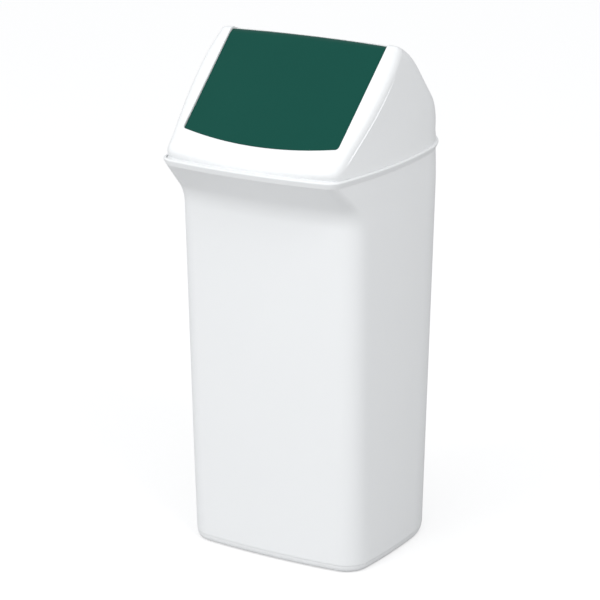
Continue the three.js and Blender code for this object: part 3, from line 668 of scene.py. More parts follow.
def rear_at(z):
    """The rear profile: shoulder arc, straight slope, crown arc up to the ridge."""
    centre_y = hood_foot["rear"] - SHOULDER
    foot_y = centre_y + SHOULDER * math.sin(REAR_SLOPE)
    foot_z = SHOULDER_Z + SHOULDER * math.cos(REAR_SLOPE)
    top_y = foot_y - REAR_STRAIGHT * math.cos(REAR_SLOPE)
    top_z = foot_z + REAR_STRAIGHT * math.sin(REAR_SLOPE)
    crown_y = top_y - CROWN * math.sin(REAR_SLOPE)
    crown_z = top_z - CROWN * math.cos(REAR_SLOPE)
    shoulder = centre_y + np.sqrt(np.maximum(SHOULDER ** 2 - np.maximum(z - SHOULDER_Z, 0) ** 2, 0))
    straight = foot_y - (z - foot_z) / math.tan(REAR_SLOPE)
    crown = crown_y + np.sqrt(np.maximum(CROWN ** 2 - (z - crown_z) ** 2, 1e-8))
    return np.where(z <= foot_z, shoulder, np.where(z <= top_z, straight, crown))


def hood_plan(z):
    """The hood's outline at each height, before the sloping frame cuts it."""
    tighten = np.clip((z - SHRINK_FROM) / (HEIGHT - SHRINK_FROM), 0, 1)
    plan = {key: value + 0 * z for key, value in hood_foot.items()}
    plan["width"] = plan["width"] - 2 * SIDE_LEAN * np.maximum(z - RIM_HEIGHT, 0)
    cove = np.clip((COVE_TOP - z) / (COVE_TOP - COVE_Z), 0, 1) ** COVE_EASE
    plan["front"] = plan["front"] + COVE_DEPTH * np.clip((z - COVE_Z) / COVE_LEAD + 1, 0, 1) * cove
    plan["rear"] = rear_at(z)
    plan["rear_corner"] = plan["rear_corner"] + (RIDGE_CORNER - hood_foot["rear_corner"]) * tighten
    return plan


def past_line(a, b, x, y):
    """Positive where a place lies to the left of the line from a through b, seen from above."""
    return (b[0] - a[0]) * (y - a[1]) - (b[1] - a[1]) * (x - a[0])


def outline_depth(x, y, z):
    """Level distance out of the hood's outline, negative inside."""
    plan = hood_plan(z)
    x = np.abs(x)
    front, low, side, high, rear = plan_centres(plan)

    def reach(centre, radius):
        return np.hypot(x - centre[0], y - centre[1]) - plan[radius]

    depth = np.maximum(reach(front, "front_bow"), reach(side, "side_bow"))
    depth = np.maximum(depth, reach(rear, "rear_bow"))
    in_front = (past_line(front, low, x, y) >= 0) & (past_line(side, low, x, y) < 0)
    behind = (past_line(side, high, x, y) >= 0) & (past_line(rear, high, x, y) < 0)
    depth = np.where(in_front, reach(low, "front_corner"), depth)
    return np.where(behind, reach(high, "rear_corner"), depth)


def slope_of(field, p, step=0.00008):
    """The field's gradient at each point."""
    parts = []
    for axis in np.eye(3) * step:
        parts.append((field(*(p + axis).T) - field(*(p - axis).T)) / (2 * step))
    return np.stack(parts, -1)


def smooth_step(value, low, high):
    """0 below low, 1 above high and an even S between them."""
    share = np.clip((value - low) / (high - low), 0, 1)
    return share * share * (3 - 2 * share)


def hood_terms(p):
    """Distances to the walls and to the frame's plane, their rounding, and how far sideways p faces."""
    grad = slope_of(outline_depth, p)
    size = np.linalg.norm(grad, axis=1)
    wall = outline_depth(*p.T) / size
    plane = (p - pivot) @ slope_normal - (ROLL_RADIUS + FRAME_PROUD)
    sideways = np.abs(grad[:, 0]) / size
    turn_share = 1 - (grad @ slope_normal) / size
    rounding = (NOSE_ROUND + (EDGE_ROUND - NOSE_ROUND) * sideways) * turn_share
    return wall, plane, np.maximum(rounding, LEAST_ROUND), sideways


def hood_depth(p, crease=True):
    """Distance out of the hood: walls and frame plane, rounded into each other.

    The crease is a small step down from the frame's round edge to the side walls.
    """
    wall, plane, rounding, sideways = hood_terms(p)
    if crease:
        fade = smooth_step(p[:, 2], *CREASE_IN) * (1 - smooth_step(p[:, 2], *CREASE_OUT))
        fade = fade * smooth_step(sideways, 0.75, 0.95)
        wall = wall + CREASE_STEP * fade * smooth_step(plane + rounding, -0.0006, 0.0003)
    inside = np.maximum(wall, plane)
    corner = np.hypot(np.maximum(wall + rounding, 0), np.maximum(plane + rounding, 0)) - rounding
    return np.where((wall > -rounding) & (plane > -rounding), corner, inside)


def surface_share(outside, low, high):
    """Between low and high, the shares where the hood's surface lies, found by halving."""
    for _ in range(26):
        half = (low + high) / 2
        is_out = outside(half)
        high = np.where(is_out, half, high)
        low = np.where(is_out, low, half)
    return (low + high) / 2


def cast(points, crease=True):
    """Each point moved along its ray from the middle of the hood on to the hood's surface."""
    ray = points - CAST_FROM
    share = surface_share(
        lambda half: hood_depth(CAST_FROM + ray * half[:, None], crease) > 0,
        np.full(len(points), 0.55), np.full(len(points), 2.2))
    return CAST_FROM + ray * share[:, None]


def drop_on(xy):
    """The place on the hood's top surface over each place in plan."""
    height = surface_share(
        lambda half: hood_depth(np.column_stack([xy, half]), False) > 0,
        np.full(len(xy), 0.600), np.full(len(xy), 0.760))
    return np.column_stack([xy, height])


def low_edge(x):
    """How far down the slope the flap's arched lower edge lies, at x from the middle."""
    return FLAP_LENGTH - FLAP_RISE * (x / FLAP_LOW_HALF) ** 2


def along_line(points):
    """How far along a line of points each one lies, from its start."""
    return np.concatenate([[0], np.cumsum(np.linalg.norm(np.diff(points, axis=0), axis=1))])


def mirrored(half):
    """A right half in plan, from front to back, and the left half back to the front again."""
    return np.vstack([half, (half[1:-1] * [-1, 1])[::-1]])


def opening_loop(stations):
    """The opening in plan, from the middle of its lower edge, with each point's share of the half."""
    low_half = FLAP_LOW_HALF + OPENING_GAP
    top_half = FLAP_TOP_HALF + OPENING_GAP
    rear_y = PIVOT_Y + OPENING_BACK
    points = []
    for x in np.linspace(0, low_half - OPENING_LOW_CORNER, 60):
        down = low_edge(min(x, FLAP_LOW_HALF)) + OPENING_GAP
        points.append(flap_point(x, down, ROLL_RADIUS + FRAME_PROUD)[:2])
    centre = points[-1] + [0, OPENING_LOW_CORNER]
    for angle in angles_to(0, 7, -QUARTER)[1:]:
        points.append(centre + OPENING_LOW_CORNER * np.array([math.cos(angle), math.sin(angle)]))
    start_y = points[-1][1]
    for share in np.linspace(0, 1, 60)[1:]:
        y = start_y + (rear_y - OPENING_TOP_CORNER - start_y) * share
        points.append(np.array([low_half + (top_half - low_half) * share, y]))
    centre = np.array([top_half - OPENING_TOP_CORNER, rear_y - OPENING_TOP_CORNER])
    for angle in angles_to(QUARTER, 8)[1:]:
        points.append(centre + OPENING_TOP_CORNER * np.array([math.cos(angle), math.sin(angle)]))
    for x in np.linspace(top_half - OPENING_TOP_CORNER, 0, 50)[1:]:
        points.append(np.array([x, rear_y]))
    half = np.array(points)
    run = along_line(half)
    spaced = np.linspace(0, run[-1], stations + 1)
    half = np.column_stack([np.interp(spaced, run, half[:, k]) for k in (0, 1)])
    return mirrored(half), spaced / run[-1]


# The hood's mesh runs in lines from the opening's edge down to the skirt's foot. Both
# loops have the same number of stations, and their corners are matched up.
edge_plan, edge_share = opening_loop(HALF_STATIONS)
opening = drop_on(edge_plan)
foot_half = plan_loop(hood_foot, ledge)[: sum(PLAN_STEPS) + 1, :2]
foot_run = along_line(foot_half)
foot_run /= foot_run[-1]
low_third = slice(0, HALF_STATIONS // 3)
edge_corner = float(np.interp(FLAP_LOW_HALF, edge_plan[low_third, 0], edge_share[low_third]))
edge_top = float(edge_share[int(np.argmax(edge_plan[: HALF_STATIONS + 1, 1] > PIVOT_Y + 0.010))])
foot_corner = float(np.interp(FOOT_CORNER_X, foot_half[:30, 0], foot_run[:30]))
foot_at = np.interp(edge_share, [0, edge_corner, edge_top, 1], [0, foot_corner, FOOT_TOP_SHARE, 1])
foot_loop = mirrored(np.column_stack([np.interp(foot_at, foot_run, foot_half[:, k]) for k in (0, 1)]))
skirt = np.column_stack([foot_loop, np.full(len(foot_loop), ledge + 0.0003)])


def on_lines(shares):
    """Points at the given shares of the lines from the opening to the skirt."""
    return opening + (skirt - opening) * shares


def crease_shares():
    """Where each line crosses the lower end of the frame's round edge, as a share of the line."""
    probe = np.linspace(0, 1, 90)
    found = cast(on_lines(probe[:, None, None]).reshape(-1, 3), False)
    _, plane, rounding, _ = hood_terms(found)
    above = (plane + rounding).reshape(len(probe), -1)
    last = len(probe) - 1
    reached = np.where((above > 0).any(0), last - np.argmax((above > 0)[::-1], axis=0), 0)
    crossing = np.clip(probe[reached], 0.06, 0.9)
    for i, k in enumerate(reached):
        if 0 < k < last and above[k, i] > 0 > above[k + 1, i]:
            part = above[k, i] / (above[k, i] - above[k + 1, i])
            crossing[i] = max(probe[k] + part * (probe[k + 1] - probe[k]), 0.06)
    return crossing


# in front the lines have no crease, so they take the first side line's share
crease = crease_shares()
station_share = np.concatenate([edge_share, edge_share[1:-1][::-1]])
side_start = edge_corner + 0.035
crease = np.where(station_share < side_start, crease[int(np.argmax(edge_share > side_start))], crease)
wrapped = np.concatenate([crease[-2:], crease, crease[:2]])
crease = np.convolve(wrapped, np.array([1, 2, 3, 2, 1]) / 9, "valid")

# rows: the frame, eight close ones over the crease, and the wall below it
half_band = CREASE_HALF / np.linalg.norm(skirt - opening, axis=1)
shares = [(crease - half_band) * k / 28 for k in range(28)]
shares += [crease - half_band + 2 * half_band * k / 8 for k in range(8)]
shares += [crease + half_band + (1 - crease - half_band) * (k / 40) ** 1.25 for k in range(41)]
grid = on_lines(np.array(shares)[:, :, None])
outer = cast(grid.reshape(-1, 3), True).reshape(grid.shape)
plain = cast(grid.reshape(-1, 3), False)
grad = slope_of(lambda x, y, z: hood_depth(np.column_stack([x, y, z]), False), plain, 0.0002)
normal = (grad / np.linalg.norm(grad, axis=1)[:, None]).reshape(grid.shape)
inner = plain.reshape(grid.shape) - HOOD_WALL * normal

# the opening's soft lip, then down the outside
away = outer[2] - outer[0]
away /= np.linalg.norm(away, axis=1)[:, None]
hood_rows = []
for angle in angles_to(QUARTER, 3):
    hood_rows.append(outer[0] + away * LIP * (1 - math.cos(angle)) - normal[0] * LIP * (1 - math.sin(angle)))
hood_rows += [*outer[1:-1]]

# round the skirt's foot and up the inside
tip = outer[-1]
upwards = np.array([0, 0, 1.0])
for angle in angles_to(QUARTER, 2):
    inwards = normal[-1] * HOOD_EDGE * (1 - math.cos(angle))
    hood_rows.append(tip - inwards + upwards * HOOD_EDGE * (1 - math.sin(angle)))
for angle in angles_to(QUARTER, 2):
    inwards = normal[-1] * (HOOD_WALL - HOOD_EDGE * (1 - math.sin(angle)))
    hood_rows.append(tip - inwards + upwards * HOOD_EDGE * (1 - math.cos(angle)))
hood_rows += [*inner[2:-1][::-1]]

# a thin wall turns in round the opening, deepest in front
return_depth = RETURN_DEPTH - HOOD_WALL
return_depth = HOOD_WALL + return_depth * (1 - smooth_step(opening[:, 1], -0.016, 0.002))[:, None]
turned_in = outer[0] - normal[0] * return_depth
hood_rows.append(outer[0] + away * RETURN_WALL - normal[0] * HOOD_WALL)
hood_rows.append(turned_in + away * RETURN_WALL - normal[0] * 0.0002)
hood_rows.append(turned_in + away * RETURN_WALL * 0.8 - normal[0] * HOOD_EDGE)
hood_rows.append(turned_in + away * RETURN_WALL * 0.2 - normal[0] * HOOD_EDGE)
hood_rows.append(turned_in)


def lug_rows(sign):
    """A bracket under the ridge: round above, square below, bored for the bush."""
    bore = []
    rim = []
    for k in range(LUG_SIDES):
        angle = 2 * math.pi * k / LUG_SIDES
        square = LUG_HALF / max(abs(math.cos(angle)), abs(math.sin(angle)))
        bore.append((BUSH_RADIUS + BUSH_FIT, angle))
        rim.append((LUG_RADIUS if math.sin(angle) > 0 else min(square, LUG_CORNER), angle))
    loops = []
    for outline, x in ((bore, 0), (rim, 0), (rim, BRACKET_WALL), (bore, BRACKET_WALL)):
        loops.append([
            (sign * (BRACKET_FROM + x), PIVOT_Y + reach * math.cos(angle), PIVOT_Z + reach * math.sin(angle))
            for reach, angle in outline])
    return loops


def joined(shells):
    """Several closed skins as the vertices and faces of one mesh."""
    all_vertices, all_faces = [], []
    for some_vertices, some_faces in shells:
        start = len(all_vertices)
        all_vertices += list(some_vertices)
        all_faces += [tuple(i + start for i in face) for face in some_faces]
    return all_vertices, all_faces


def outward(vertices, faces):
    """The same skin with its faces turned to point outwards."""
    points = np.array(vertices, float)
    volume = 0.0
    for face in faces:
        for k in range(1, len(face) - 1):
            a, b, c = points[face[0]], points[face[k]], points[face[k + 1]]
            volume += float(np.dot(a, np.cross(b, c)))
    return (vertices, faces) if volume > 0 else (vertices, [face[::-1] for face in faces])


hood_shells = [outward(*skin_rows(hood_rows, ring=True))]
for sign in (-1, 1):
    hood_shells.append(outward(*skin_rows(lug_rows(sign), ring=True)))
hood = closed_piece("hood_shell", *joined(hood_shells), sharp=46)
hood.data.materials.append(shell_white)
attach(hood, "lid")
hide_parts("lid_hood")

# ---------------------------------------------------------------------------
# Flap: a thin dark green moulding. It lies a little below the frame, rolls over
# the ridge round its pivots, and carries round cheeks, two arms for the ballast
# and two tabs that stop it against the bumpers.
FLAP_WALL = 0.0022
FLAP_SOFT = 0.0009
LOW_CORNER = 0.0035
ROLL_TURN = math.radians(110)
CORNER_ROUND = 0.0062
CORNER_DROP = 0.12
CHEEK_INSET = 0.0025
CHEEK_WALL = 0.0035
CHEEK_RADIUS = 0.0140
CHEEK_BORE = 0.0043
TAIL_X = 0.110
TAIL_WALL = 0.004
TAIL_HALF = 0.008
TAIL_TIP = 0.004
TAIL_SOFT = 0.0006
BALLAST_REACH = 0.072
BALLAST_ANGLE = math.radians(70)
TAIL_BEYOND = 0.0085
BUMPER_X = 0.070
BUMPER_BEYOND = 0.0074
BUMPER_RADIUS = 0.004
TAB_WIDTH = 0.016
TAB_WALL = 0.0025
TAB_DROP = 0.0105
TAB_ROOT = 0.020
TAB_RIB = 0.010
GREEN_DEEP = (0.0038, 0.0640, 0.0475)
GREEN_LIGHT = (0.0044, 0.0690, 0.0510)


def flap_edge(x):
    """The lower edge of the flap: a shallow arc, with small round corners."""
    past = np.clip(np.abs(x) - (FLAP_LOW_HALF - LOW_CORNER), 0, LOW_CORNER)
    return low_edge(x) - (LOW_CORNER - np.sqrt(LOW_CORNER ** 2 - past ** 2))


def pinch(distance):
    """How far a rounded edge has come in at this distance from the edge."""
    gone = np.clip(FLAP_SOFT - distance, 0, FLAP_SOFT)
    return FLAP_SOFT - np.sqrt(FLAP_SOFT ** 2 - gone ** 2)


# stations across the flap and rows along it, closest together at its round edges
bends = np.sin(np.linspace(0, QUARTER, 7))
across = np.concatenate([
    np.linspace(0, FLAP_TOP_HALF - 0.0065, 44),
    FLAP_TOP_HALF - 0.0065 + 0.0055 * bends[1:],
    FLAP_TOP_HALF - FLAP_SOFT + FLAP_SOFT * np.array([0.4, 0.7, 0.9, 1.0]),
])
across = np.concatenate([-across[:0:-1], across])
slope_steps = np.concatenate([
    FLAP_SOFT * np.array([0.0, 0.1, 0.35, 0.7]),
    np.linspace(0.0012, 0.012, 6),
    np.linspace(0.018, FLAP_LENGTH, 34),
])
roll_steps = np.sort(np.concatenate([
    np.linspace(0, 1, 26)[1:-1],
    1 - np.array([0.028, 0.012, 0.004, 0.0]),
]))


def flap_skin(depth):
    """One face of the flap, in rows up the slope and over the roll: depth 0 is outside, 1 inside."""
    lines = []
    towards = 2 * depth - 1
    crown = FLAP_CROWN * (1 - (across / FLAP_TOP_HALF) ** 2)
    radius = ROLL_RADIUS + crown - FLAP_WALL * depth
    side_pinch = pinch(FLAP_TOP_HALF - np.abs(across))
    corner = np.clip(np.abs(across) - (FLAP_TOP_HALF - CORNER_ROUND), 0, CORNER_ROUND)
    corner_drop = CORNER_ROUND - np.sqrt(CORNER_ROUND ** 2 - corner ** 2 * 0.985)
    for step in slope_steps:
        down = flap_edge(across * FLAP_LOW_HALF / FLAP_TOP_HALF) * (1 - step / FLAP_LENGTH)
        down = np.maximum(down, 0)
        narrow = 1 - (1 - FLAP_LOW_HALF / FLAP_TOP_HALF) * np.clip(down / FLAP_LENGTH, 0, 1)
        up = radius + towards * np.maximum(side_pinch, pinch(step))
        lines.append(flap_point(across * narrow, down, up))
    for step in roll_steps:
        angle = ROLL_TURN * step
        run = (1 - step) * ROLL_TURN * ROLL_RADIUS
        reach = radius + towards * np.maximum(side_pinch, pinch(run))
        reach = reach - corner_drop * smooth_step(angle, 0.0, 0.9) * CORNER_DROP
        lines.append(flap_point(across, -reach * math.sin(angle), reach * math.cos(angle)))
    return np.array(lines)


def flap_sheet():
    """The flap's two faces, sewn together round their border."""
    skins = np.array([flap_skin(0), flap_skin(1)])
    lines, columns = skins.shape[1:3]
    inside = lines * columns
    faces = []
    for r in range(lines - 1):
        for c in range(columns - 1):
            a = r * columns + c
            faces.append((a, a + 1, a + columns + 1, a + columns))
            faces.append((inside + a, inside + a + columns, inside + a + columns + 1, inside + a + 1))
    border = list(range(columns))
    border += [r * columns + columns - 1 for r in range(1, lines)]
    border += [(lines - 1) * columns + c for c in range(columns - 2, -1, -1)]
    border += [r * columns for r in range(lines - 2, 0, -1)]
    for k, a in enumerate(border):
        b = border[(k + 1) % len(border)]
        faces.append((a, inside + a, inside + b, b))
    return outward([tuple(point) for point in skins.reshape(-1, 3)], faces)


def turned_rows(profile, origin, axis, sides):
    """Rows of points round an axis: profile holds (radius, distance along the axis)."""
    axis = Vector(axis).normalized()
    across_axis = axis.orthogonal().normalized()
    third = axis.cross(across_axis)
    rows_round = []
    for radius, along in profile:
        loop = []
        for k in range(sides):
            angle = 2 * math.pi * k / sides
            spoke = across_axis * math.cos(angle) + third * math.sin(angle)
            loop.append(tuple(Vector(origin) + axis * along + spoke * radius))
        rows_round.append(loop)
    return rows_round


def slab(outline, x0, x1, soft):
    """A plate across X from a convex outline in (y, z), with soft edges."""
    points = np.array(outline)
    centre = points.mean(axis=0)
    inward = centre - points
    inward /= np.linalg.norm(inward, axis=1)[:, None]
    start_edge = ((x0, soft), (x0 + soft * 0.3, soft * 0.3), (x0 + soft, 0))
    end_edge = ((x1 - soft, 0), (x1 - soft * 0.3, soft * 0.3), (x1, soft))
    loops = [[(x, y, z) for y, z in points + inward * depth] for x, depth in start_edge + end_edge]
    return outward(*skin_rows(loops, (x0, *centre), (x1, *centre)))


ballast_spot = np.array([
    0.0,
    PIVOT_Y + BALLAST_REACH * math.cos(BALLAST_ANGLE),
    PIVOT_Z - BALLAST_REACH * math.sin(BALLAST_ANGLE),
])


def tail_outline():
    """An arm's outline in (y, z): straight from under the roll, round past the ballast."""
    towards = np.array([math.cos(BALLAST_ANGLE), -math.sin(BALLAST_ANGLE)])
    root = flap_point(0.0, 0.0, ROLL_RADIUS - 0.0028)[1:]
    tip = np.array([PIVOT_Y, PIVOT_Z]) + towards * (BALLAST_REACH + TAIL_BEYOND)
    along = (tip - root) / np.linalg.norm(tip - root)
    side = np.array([-along[1], along[0]])
    outline = [root - side * TAIL_HALF * 0.9, root + side * TAIL_HALF * 0.9]
    for angle in angles_to(-QUARTER, 8, QUARTER):
        bend = side * TAIL_HALF * math.sin(angle) + along * TAIL_TIP * math.cos(angle)
        outline.append(tip - along * TAIL_TIP + bend)
    return outline


def cheek(sign):
    """A round cheek inside one end of the roll, bored for its pin."""
    soft = 0.0005
    profile = [
        (CHEEK_BORE, 0), (CHEEK_RADIUS - 0.0003, 0), (CHEEK_RADIUS, 0.0003),
        (CHEEK_RADIUS, CHEEK_WALL - soft), (CHEEK_RADIUS - soft, CHEEK_WALL), (CHEEK_BORE, CHEEK_WALL),
    ]
    inner_face = (sign * (FLAP_TOP_HALF - CHEEK_INSET - CHEEK_WALL), PIVOT_Y, PIVOT_Z)
    return outward(*skin_rows(turned_rows(profile, inner_face, (sign, 0, 0), 48), ring=True))


def tab(sign):
    """A bent tab behind the flap's lower edge, which comes up under a bumper."""
    edge_at = low_edge(BUMPER_X)
    reach = edge_at + BUMPER_BEYOND + BUMPER_RADIUS
    root = ROLL_RADIUS - FLAP_WALL * 0.4
    upper = ROLL_RADIUS - TAB_DROP + TAB_WALL
    outline = [
        (edge_at - TAB_ROOT, root), (edge_at - TAB_ROOT, upper - TAB_WALL), (reach, upper - TAB_WALL),
        (reach, upper), (edge_at - TAB_RIB + 0.0015, upper), (edge_at - TAB_RIB, upper + 0.0015),
        (edge_at - TAB_RIB, root),
    ]
    ends = [sign * BUMPER_X + side * TAB_WIDTH / 2 for side in (-1, 1)]
    points = [tuple(flap_point(x, down, up)) for x in ends for down, up in outline]
    n = len(outline)
    faces = [(i, (i + 1) % n, n + (i + 1) % n, n + i) for i in range(n)]
    faces += [tuple(range(n))[::-1], tuple(range(n, 2 * n))]
    return outward(points, faces)


flap_shells = [flap_sheet()]
for sign in (-1, 1):
    arm_faces = (sign * TAIL_X - TAIL_WALL / 2, sign * TAIL_X + TAIL_WALL / 2)
    flap_shells += [slab(tail_outline(), *arm_faces, TAIL_SOFT), cheek(sign), tab(sign)]
flap = closed_piece("flap_shell", *joined(flap_shells), sharp=40)


def green_plastic():
    """Dark green polypropylene: faint clouds in the colour, fine scuffs and a satin grain."""
    material, tree, shader, place = started_material("green_polypropylene")
    shader.inputs["Specular IOR Level"].default_value = 0.09
    shader.inputs["IOR"].default_value = 1.49
    tint_by(tree, shader, noise_on(tree, place, 14.0, 5.0), GREEN_DEEP, GREEN_LIGHT)
    dull_by(tree, shader, noise_on(tree, place, 90.0, 8.0), 0.40, 0.50, 0.35, 0.65)
    relief_by(tree, shader, noise_on(tree, place, 1100.0), 0.15, 0.0002)
    return material


flap.data.materials.append(green_plastic())
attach(flap, "flap")
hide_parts("flap_panel")

# ---------------------------------------------------------------------------
# Ballast: a square bar of drawn mild steel between the flap's two arms. Its
# weight brings the flap back after each push.
BAR_HALF = 0.1077
BAR_SIDE = 0.0075
BAR_SOFT = 0.0012
BAR_END = 0.0007


def bare_metal(name, tone, low, high, line_scale):
    """Bare or plated steel: darker patches in the colour, and fine streaks drawn along the piece."""
    material, tree, shader, place = started_material(name)
    shader.inputs["Metallic"].default_value = 1.0
    stretch = tree.nodes.new("ShaderNodeMapping")
    stretch.inputs["Scale"].default_value = (0.04, 1.0, 1.0)
    tree.links.new(place, stretch.inputs["Vector"])
    streaks = noise_on(tree, stretch.outputs["Vector"], line_scale, 3.0)
    tint_by(tree, shader, noise_on(tree, place, 70.0, 6.0), [c * 0.80 for c in tone], tone)
    dull_by(tree, shader, streaks, low, high)
    relief_by(tree, shader, streaks, 0.2, 0.0001)
    return material


def bar_loop(x, shrink):
    """The bar's section at x: a square with round corners, turned to the ballast's angle."""
    loop = []
    radius = max(BAR_SOFT - shrink, 0.0002)
    reach = BAR_SIDE - shrink - radius
    for corner in range(4):
        middle = QUARTER * (corner + 0.5)
        cy, cz = reach * math.sqrt(2) * math.cos(middle), reach * math.sqrt(2) * math.sin(middle)
        for angle in angles_to(QUARTER * (corner + 1), 5, QUARTER * corner):
            y, z = cy + radius * math.cos(angle), cz + radius * math.sin(angle)
            loop.append((
                x, ballast_spot[1] + y * math.cos(BALLAST_ANGLE) + z * math.sin(BALLAST_ANGLE),
                ballast_spot[2] - y * math.sin(BALLAST_ANGLE) + z * math.cos(BALLAST_ANGLE)))
    return loop


bar_ends = ((0.0, BAR_END), (0.0002, BAR_END * 0.4), (BAR_END, 0.0))
bar_rows = [bar_loop(-BAR_HALF + along, shrink) for along, shrink in bar_ends]
bar_rows += [bar_loop(BAR_HALF - along, shrink) for along, shrink in bar_ends[::-1]]
bar_skin = outward(*skin_rows(bar_rows, (-BAR_HALF, *ballast_spot[1:]), (BAR_HALF, *ballast_spot[1:])))
ballast = closed_piece("ballast_bar", *bar_skin, sharp=35)
ballast.data.materials.append(bare_metal("drawn_steel", (0.42, 0.41, 0.40), 0.30, 0.48, 900.0))
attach(ballast, "flap")
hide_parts("flap_ballast_bar")

# ---------------------------------------------------------------------------
# Ballast screws: one zinc-plated pan-head screw with a cross recess goes through
# each arm into the end of the bar.
HEAD_FROM = 0.1123
HEAD_SIDES = 40
HEAD_TAPER = 0.80
SHANK_SIDES = 24
SCREW_SIZES = {
    "Head Radius": 0.0042, "Head Height": 0.0024, "Shank Radius": 0.0020, "Shank Length": 0.0140,
    "Recess Width": 0.0009, "Recess Depth": 0.0013,
}
zinc = bare_metal("zinc_plate", (0.62, 0.63, 0.66), 0.22, 0.36, 500.0)
screw_tree, screw_ports, screws_out = tree_with("cross_screw", SCREW_SIZES, "Screws")
screw = screw_ports.outputs

# a tapered head with two crossed slots cut in its outer face
head = screw_tree.nodes.new("GeometryNodeMeshCone")
head.inputs["Vertices"].default_value = HEAD_SIDES
screw_tree.links.new(screw["Head Radius"], head.inputs["Radius Bottom"])
head_narrow = worked_out(screw_tree, "MULTIPLY", screw["Head Radius"], HEAD_TAPER)
screw_tree.links.new(head_narrow, head.inputs["Radius Top"])
screw_tree.links.new(screw["Head Height"], head.inputs["Depth"])
recess = screw_tree.nodes.new("GeometryNodeMeshBoolean")
recess.operation = "DIFFERENCE"
screw_tree.links.new(head.outputs["Mesh"], recess.inputs["Mesh 1"])
slot_deep = worked_out(screw_tree, "MULTIPLY", screw["Recess Depth"], 2.0)
slot_long = worked_out(screw_tree, "MULTIPLY", screw["Head Radius"], 1.1)
head_face = as_vector(screw_tree, 0, 0, screw["Head Height"])
for slot_size in ((slot_long, screw["Recess Width"]), (screw["Recess Width"], slot_long)):
    slot_block = screw_tree.nodes.new("GeometryNodeMeshCube")
    screw_tree.links.new(as_vector(screw_tree, *slot_size, slot_deep), slot_block.inputs["Size"])
    lifted = moved_by(screw_tree, slot_block.outputs["Mesh"], head_face)
    screw_tree.links.new(lifted, recess.inputs["Mesh 2"])

# the shank runs back from the head through the arm and into the bar
shank = screw_tree.nodes.new("GeometryNodeMeshCylinder")
shank.inputs["Vertices"].default_value = SHANK_SIDES
screw_tree.links.new(screw["Shank Radius"], shank.inputs["Radius"])
screw_tree.links.new(screw["Shank Length"], shank.inputs["Depth"])
half_back = worked_out(screw_tree, "MULTIPLY", screw["Shank Length"], -0.49)
shank_low = moved_by(screw_tree, shank.outputs["Mesh"], as_vector(screw_tree, 0, 0, half_back))

whole_screw = screw_tree.nodes.new("GeometryNodeJoinGeometry")
for some in (recess.outputs["Mesh"], shank_low):
    screw_tree.links.new(some, whole_screw.inputs[0])
screws_placed = put_on(screw_tree, screw["Spots"], whole_screw.outputs[0], (1, 0, 0), "Z")
closed_off(screw_tree, screws_placed, zinc, screws_out)
screw_spots = [(side * HEAD_FROM, *ballast_spot[1:]) for side in (-1, 1)]
screws = grown_piece("ballast_screws", screw_spots, screw_tree, SCREW_SIZES)
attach(screws, "flap")
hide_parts("left_ballast_screw", "right_ballast_screw")

# ---------------------------------------------------------------------------
# Pivots: a zinc-plated steel pin is fixed in each of the flap's cheeks and turns
# in a flanged bush of natural acetal, which is held in the hood's lug.
PIN_RADIUS = 0.004
PIN_FROM = 0.112
PIN_TO = 0.138
PIN_SOFT = 0.0007
BUSH_FROM = 0.1303
BUSH_TO = 0.1375
FLANGE_TO = 0.1317
FLANGE_RADIUS = 0.0097
BUSH_BORE = 0.0043
BUSH_SOFT = 0.0003
ROUND_SIDES = 48


def natural_acetal():
    """Natural acetal, turned: creamy white with a waxy sheen and fine tool rings."""
    material, tree, shader, place = started_material("natural_acetal")
    shader.inputs["Specular IOR Level"].default_value = 0.45
    clouds = noise_on(tree, place, 180.0, 4.0)
    tint_by(tree, shader, clouds, (0.72, 0.69, 0.60), (0.80, 0.78, 0.70))
    dull_by(tree, shader, clouds, 0.32, 0.48)
    tool_rings = tree.nodes.new("ShaderNodeTexWave")
    tool_rings.bands_direction = "X"
    tool_rings.inputs["Scale"].default_value = 900.0
    tree.links.new(place, tool_rings.inputs["Vector"])
    relief_by(tree, shader, tool_rings.outputs["Fac"], 0.15, 0.0001)
    return material


def pivot_pin(sign):
    """One plain pin with broken edges at both ends."""
    length = PIN_TO - PIN_FROM
    near_end = [
        (PIN_RADIUS - PIN_SOFT, 0), (PIN_RADIUS - PIN_SOFT * 0.3, PIN_SOFT * 0.3), (PIN_RADIUS, PIN_SOFT),
    ]
    far_end = [(radius, length - along) for radius, along in near_end[::-1]]
    start, end = [(sign * x, PIVOT_Y, PIVOT_Z) for x in (PIN_FROM, PIN_TO)]
    rows = turned_rows(near_end + far_end, start, (sign, 0, 0), ROUND_SIDES)
    return outward(*skin_rows(rows, start, end))


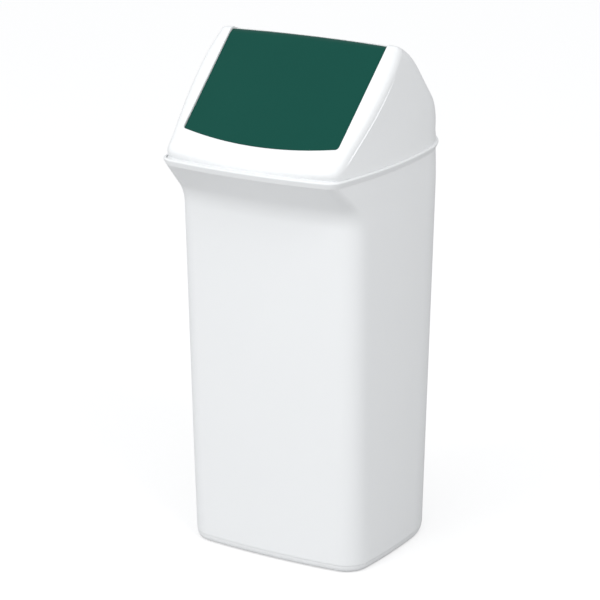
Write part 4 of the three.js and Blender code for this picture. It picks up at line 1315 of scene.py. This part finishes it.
def pivot_bush(sign):
    """One bush: a thin flange inside the lug, a sleeve through it and a bore for the pin."""
    profile = [
        (BUSH_BORE, BUSH_FROM + BUSH_SOFT), (BUSH_BORE + BUSH_SOFT, BUSH_FROM),
        (FLANGE_RADIUS - BUSH_SOFT, BUSH_FROM), (FLANGE_RADIUS, BUSH_FROM + BUSH_SOFT),
        (FLANGE_RADIUS, FLANGE_TO - BUSH_SOFT), (FLANGE_RADIUS - BUSH_SOFT, FLANGE_TO),
        (BUSH_RADIUS, FLANGE_TO), (BUSH_RADIUS, BUSH_TO - BUSH_SOFT), (BUSH_RADIUS - BUSH_SOFT, BUSH_TO),
        (BUSH_BORE + BUSH_SOFT, BUSH_TO), (BUSH_BORE, BUSH_TO - BUSH_SOFT),
    ]
    rows = turned_rows(profile, (0, PIVOT_Y, PIVOT_Z), (sign, 0, 0), ROUND_SIDES)
    return outward(*skin_rows(rows, ring=True))


pins = closed_piece("pivot_pins", *joined([pivot_pin(sign) for sign in (-1, 1)]), sharp=35)
pins.data.materials.append(zinc)
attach(pins, "flap")
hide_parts("left_pivot_pin", "right_pivot_pin")
bushes = closed_piece("pivot_bushes", *joined([pivot_bush(sign) for sign in (-1, 1)]), sharp=35)
bushes.data.materials.append(natural_acetal())
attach(bushes, "lid")
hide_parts("left_pivot_bush", "right_pivot_bush")

# ---------------------------------------------------------------------------
# Bumpers: two black rubber studs under the lower frame. The flap's tabs come up
# against their round noses and stop there without a knock.
BUMPER_LOW = 0.0073
BUMPER_HIGH = 0.0150
BUMPER_NOSE = 0.0016
STUD_SIDES = 32


def bumper(sign):
    """One stud, round at its nose and square where it meets the frame."""
    profile = []
    for angle in angles_to(QUARTER, 6):
        radius = BUMPER_RADIUS - BUMPER_NOSE * (1 - math.sin(angle))
        profile.append((radius, BUMPER_LOW + BUMPER_NOSE * (1 - math.cos(angle))))
    profile.append((BUMPER_RADIUS, BUMPER_HIGH))
    foot_spot = flap_point(sign * BUMPER_X, low_edge(BUMPER_X) + BUMPER_BEYOND, 0.0)
    rows = turned_rows(profile, foot_spot, slope_normal, STUD_SIDES)
    ends = [tuple(foot_spot + slope_normal * up) for up in (BUMPER_LOW, BUMPER_HIGH)]
    return outward(*skin_rows(rows, *ends))


bumpers = closed_piece("flap_bumpers", *joined([bumper(sign) for sign in (-1, 1)]), sharp=35)
bumpers.data.materials.append(rubber)
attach(bumpers, "lid")
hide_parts("left_flap_bumper", "right_flap_bumper")
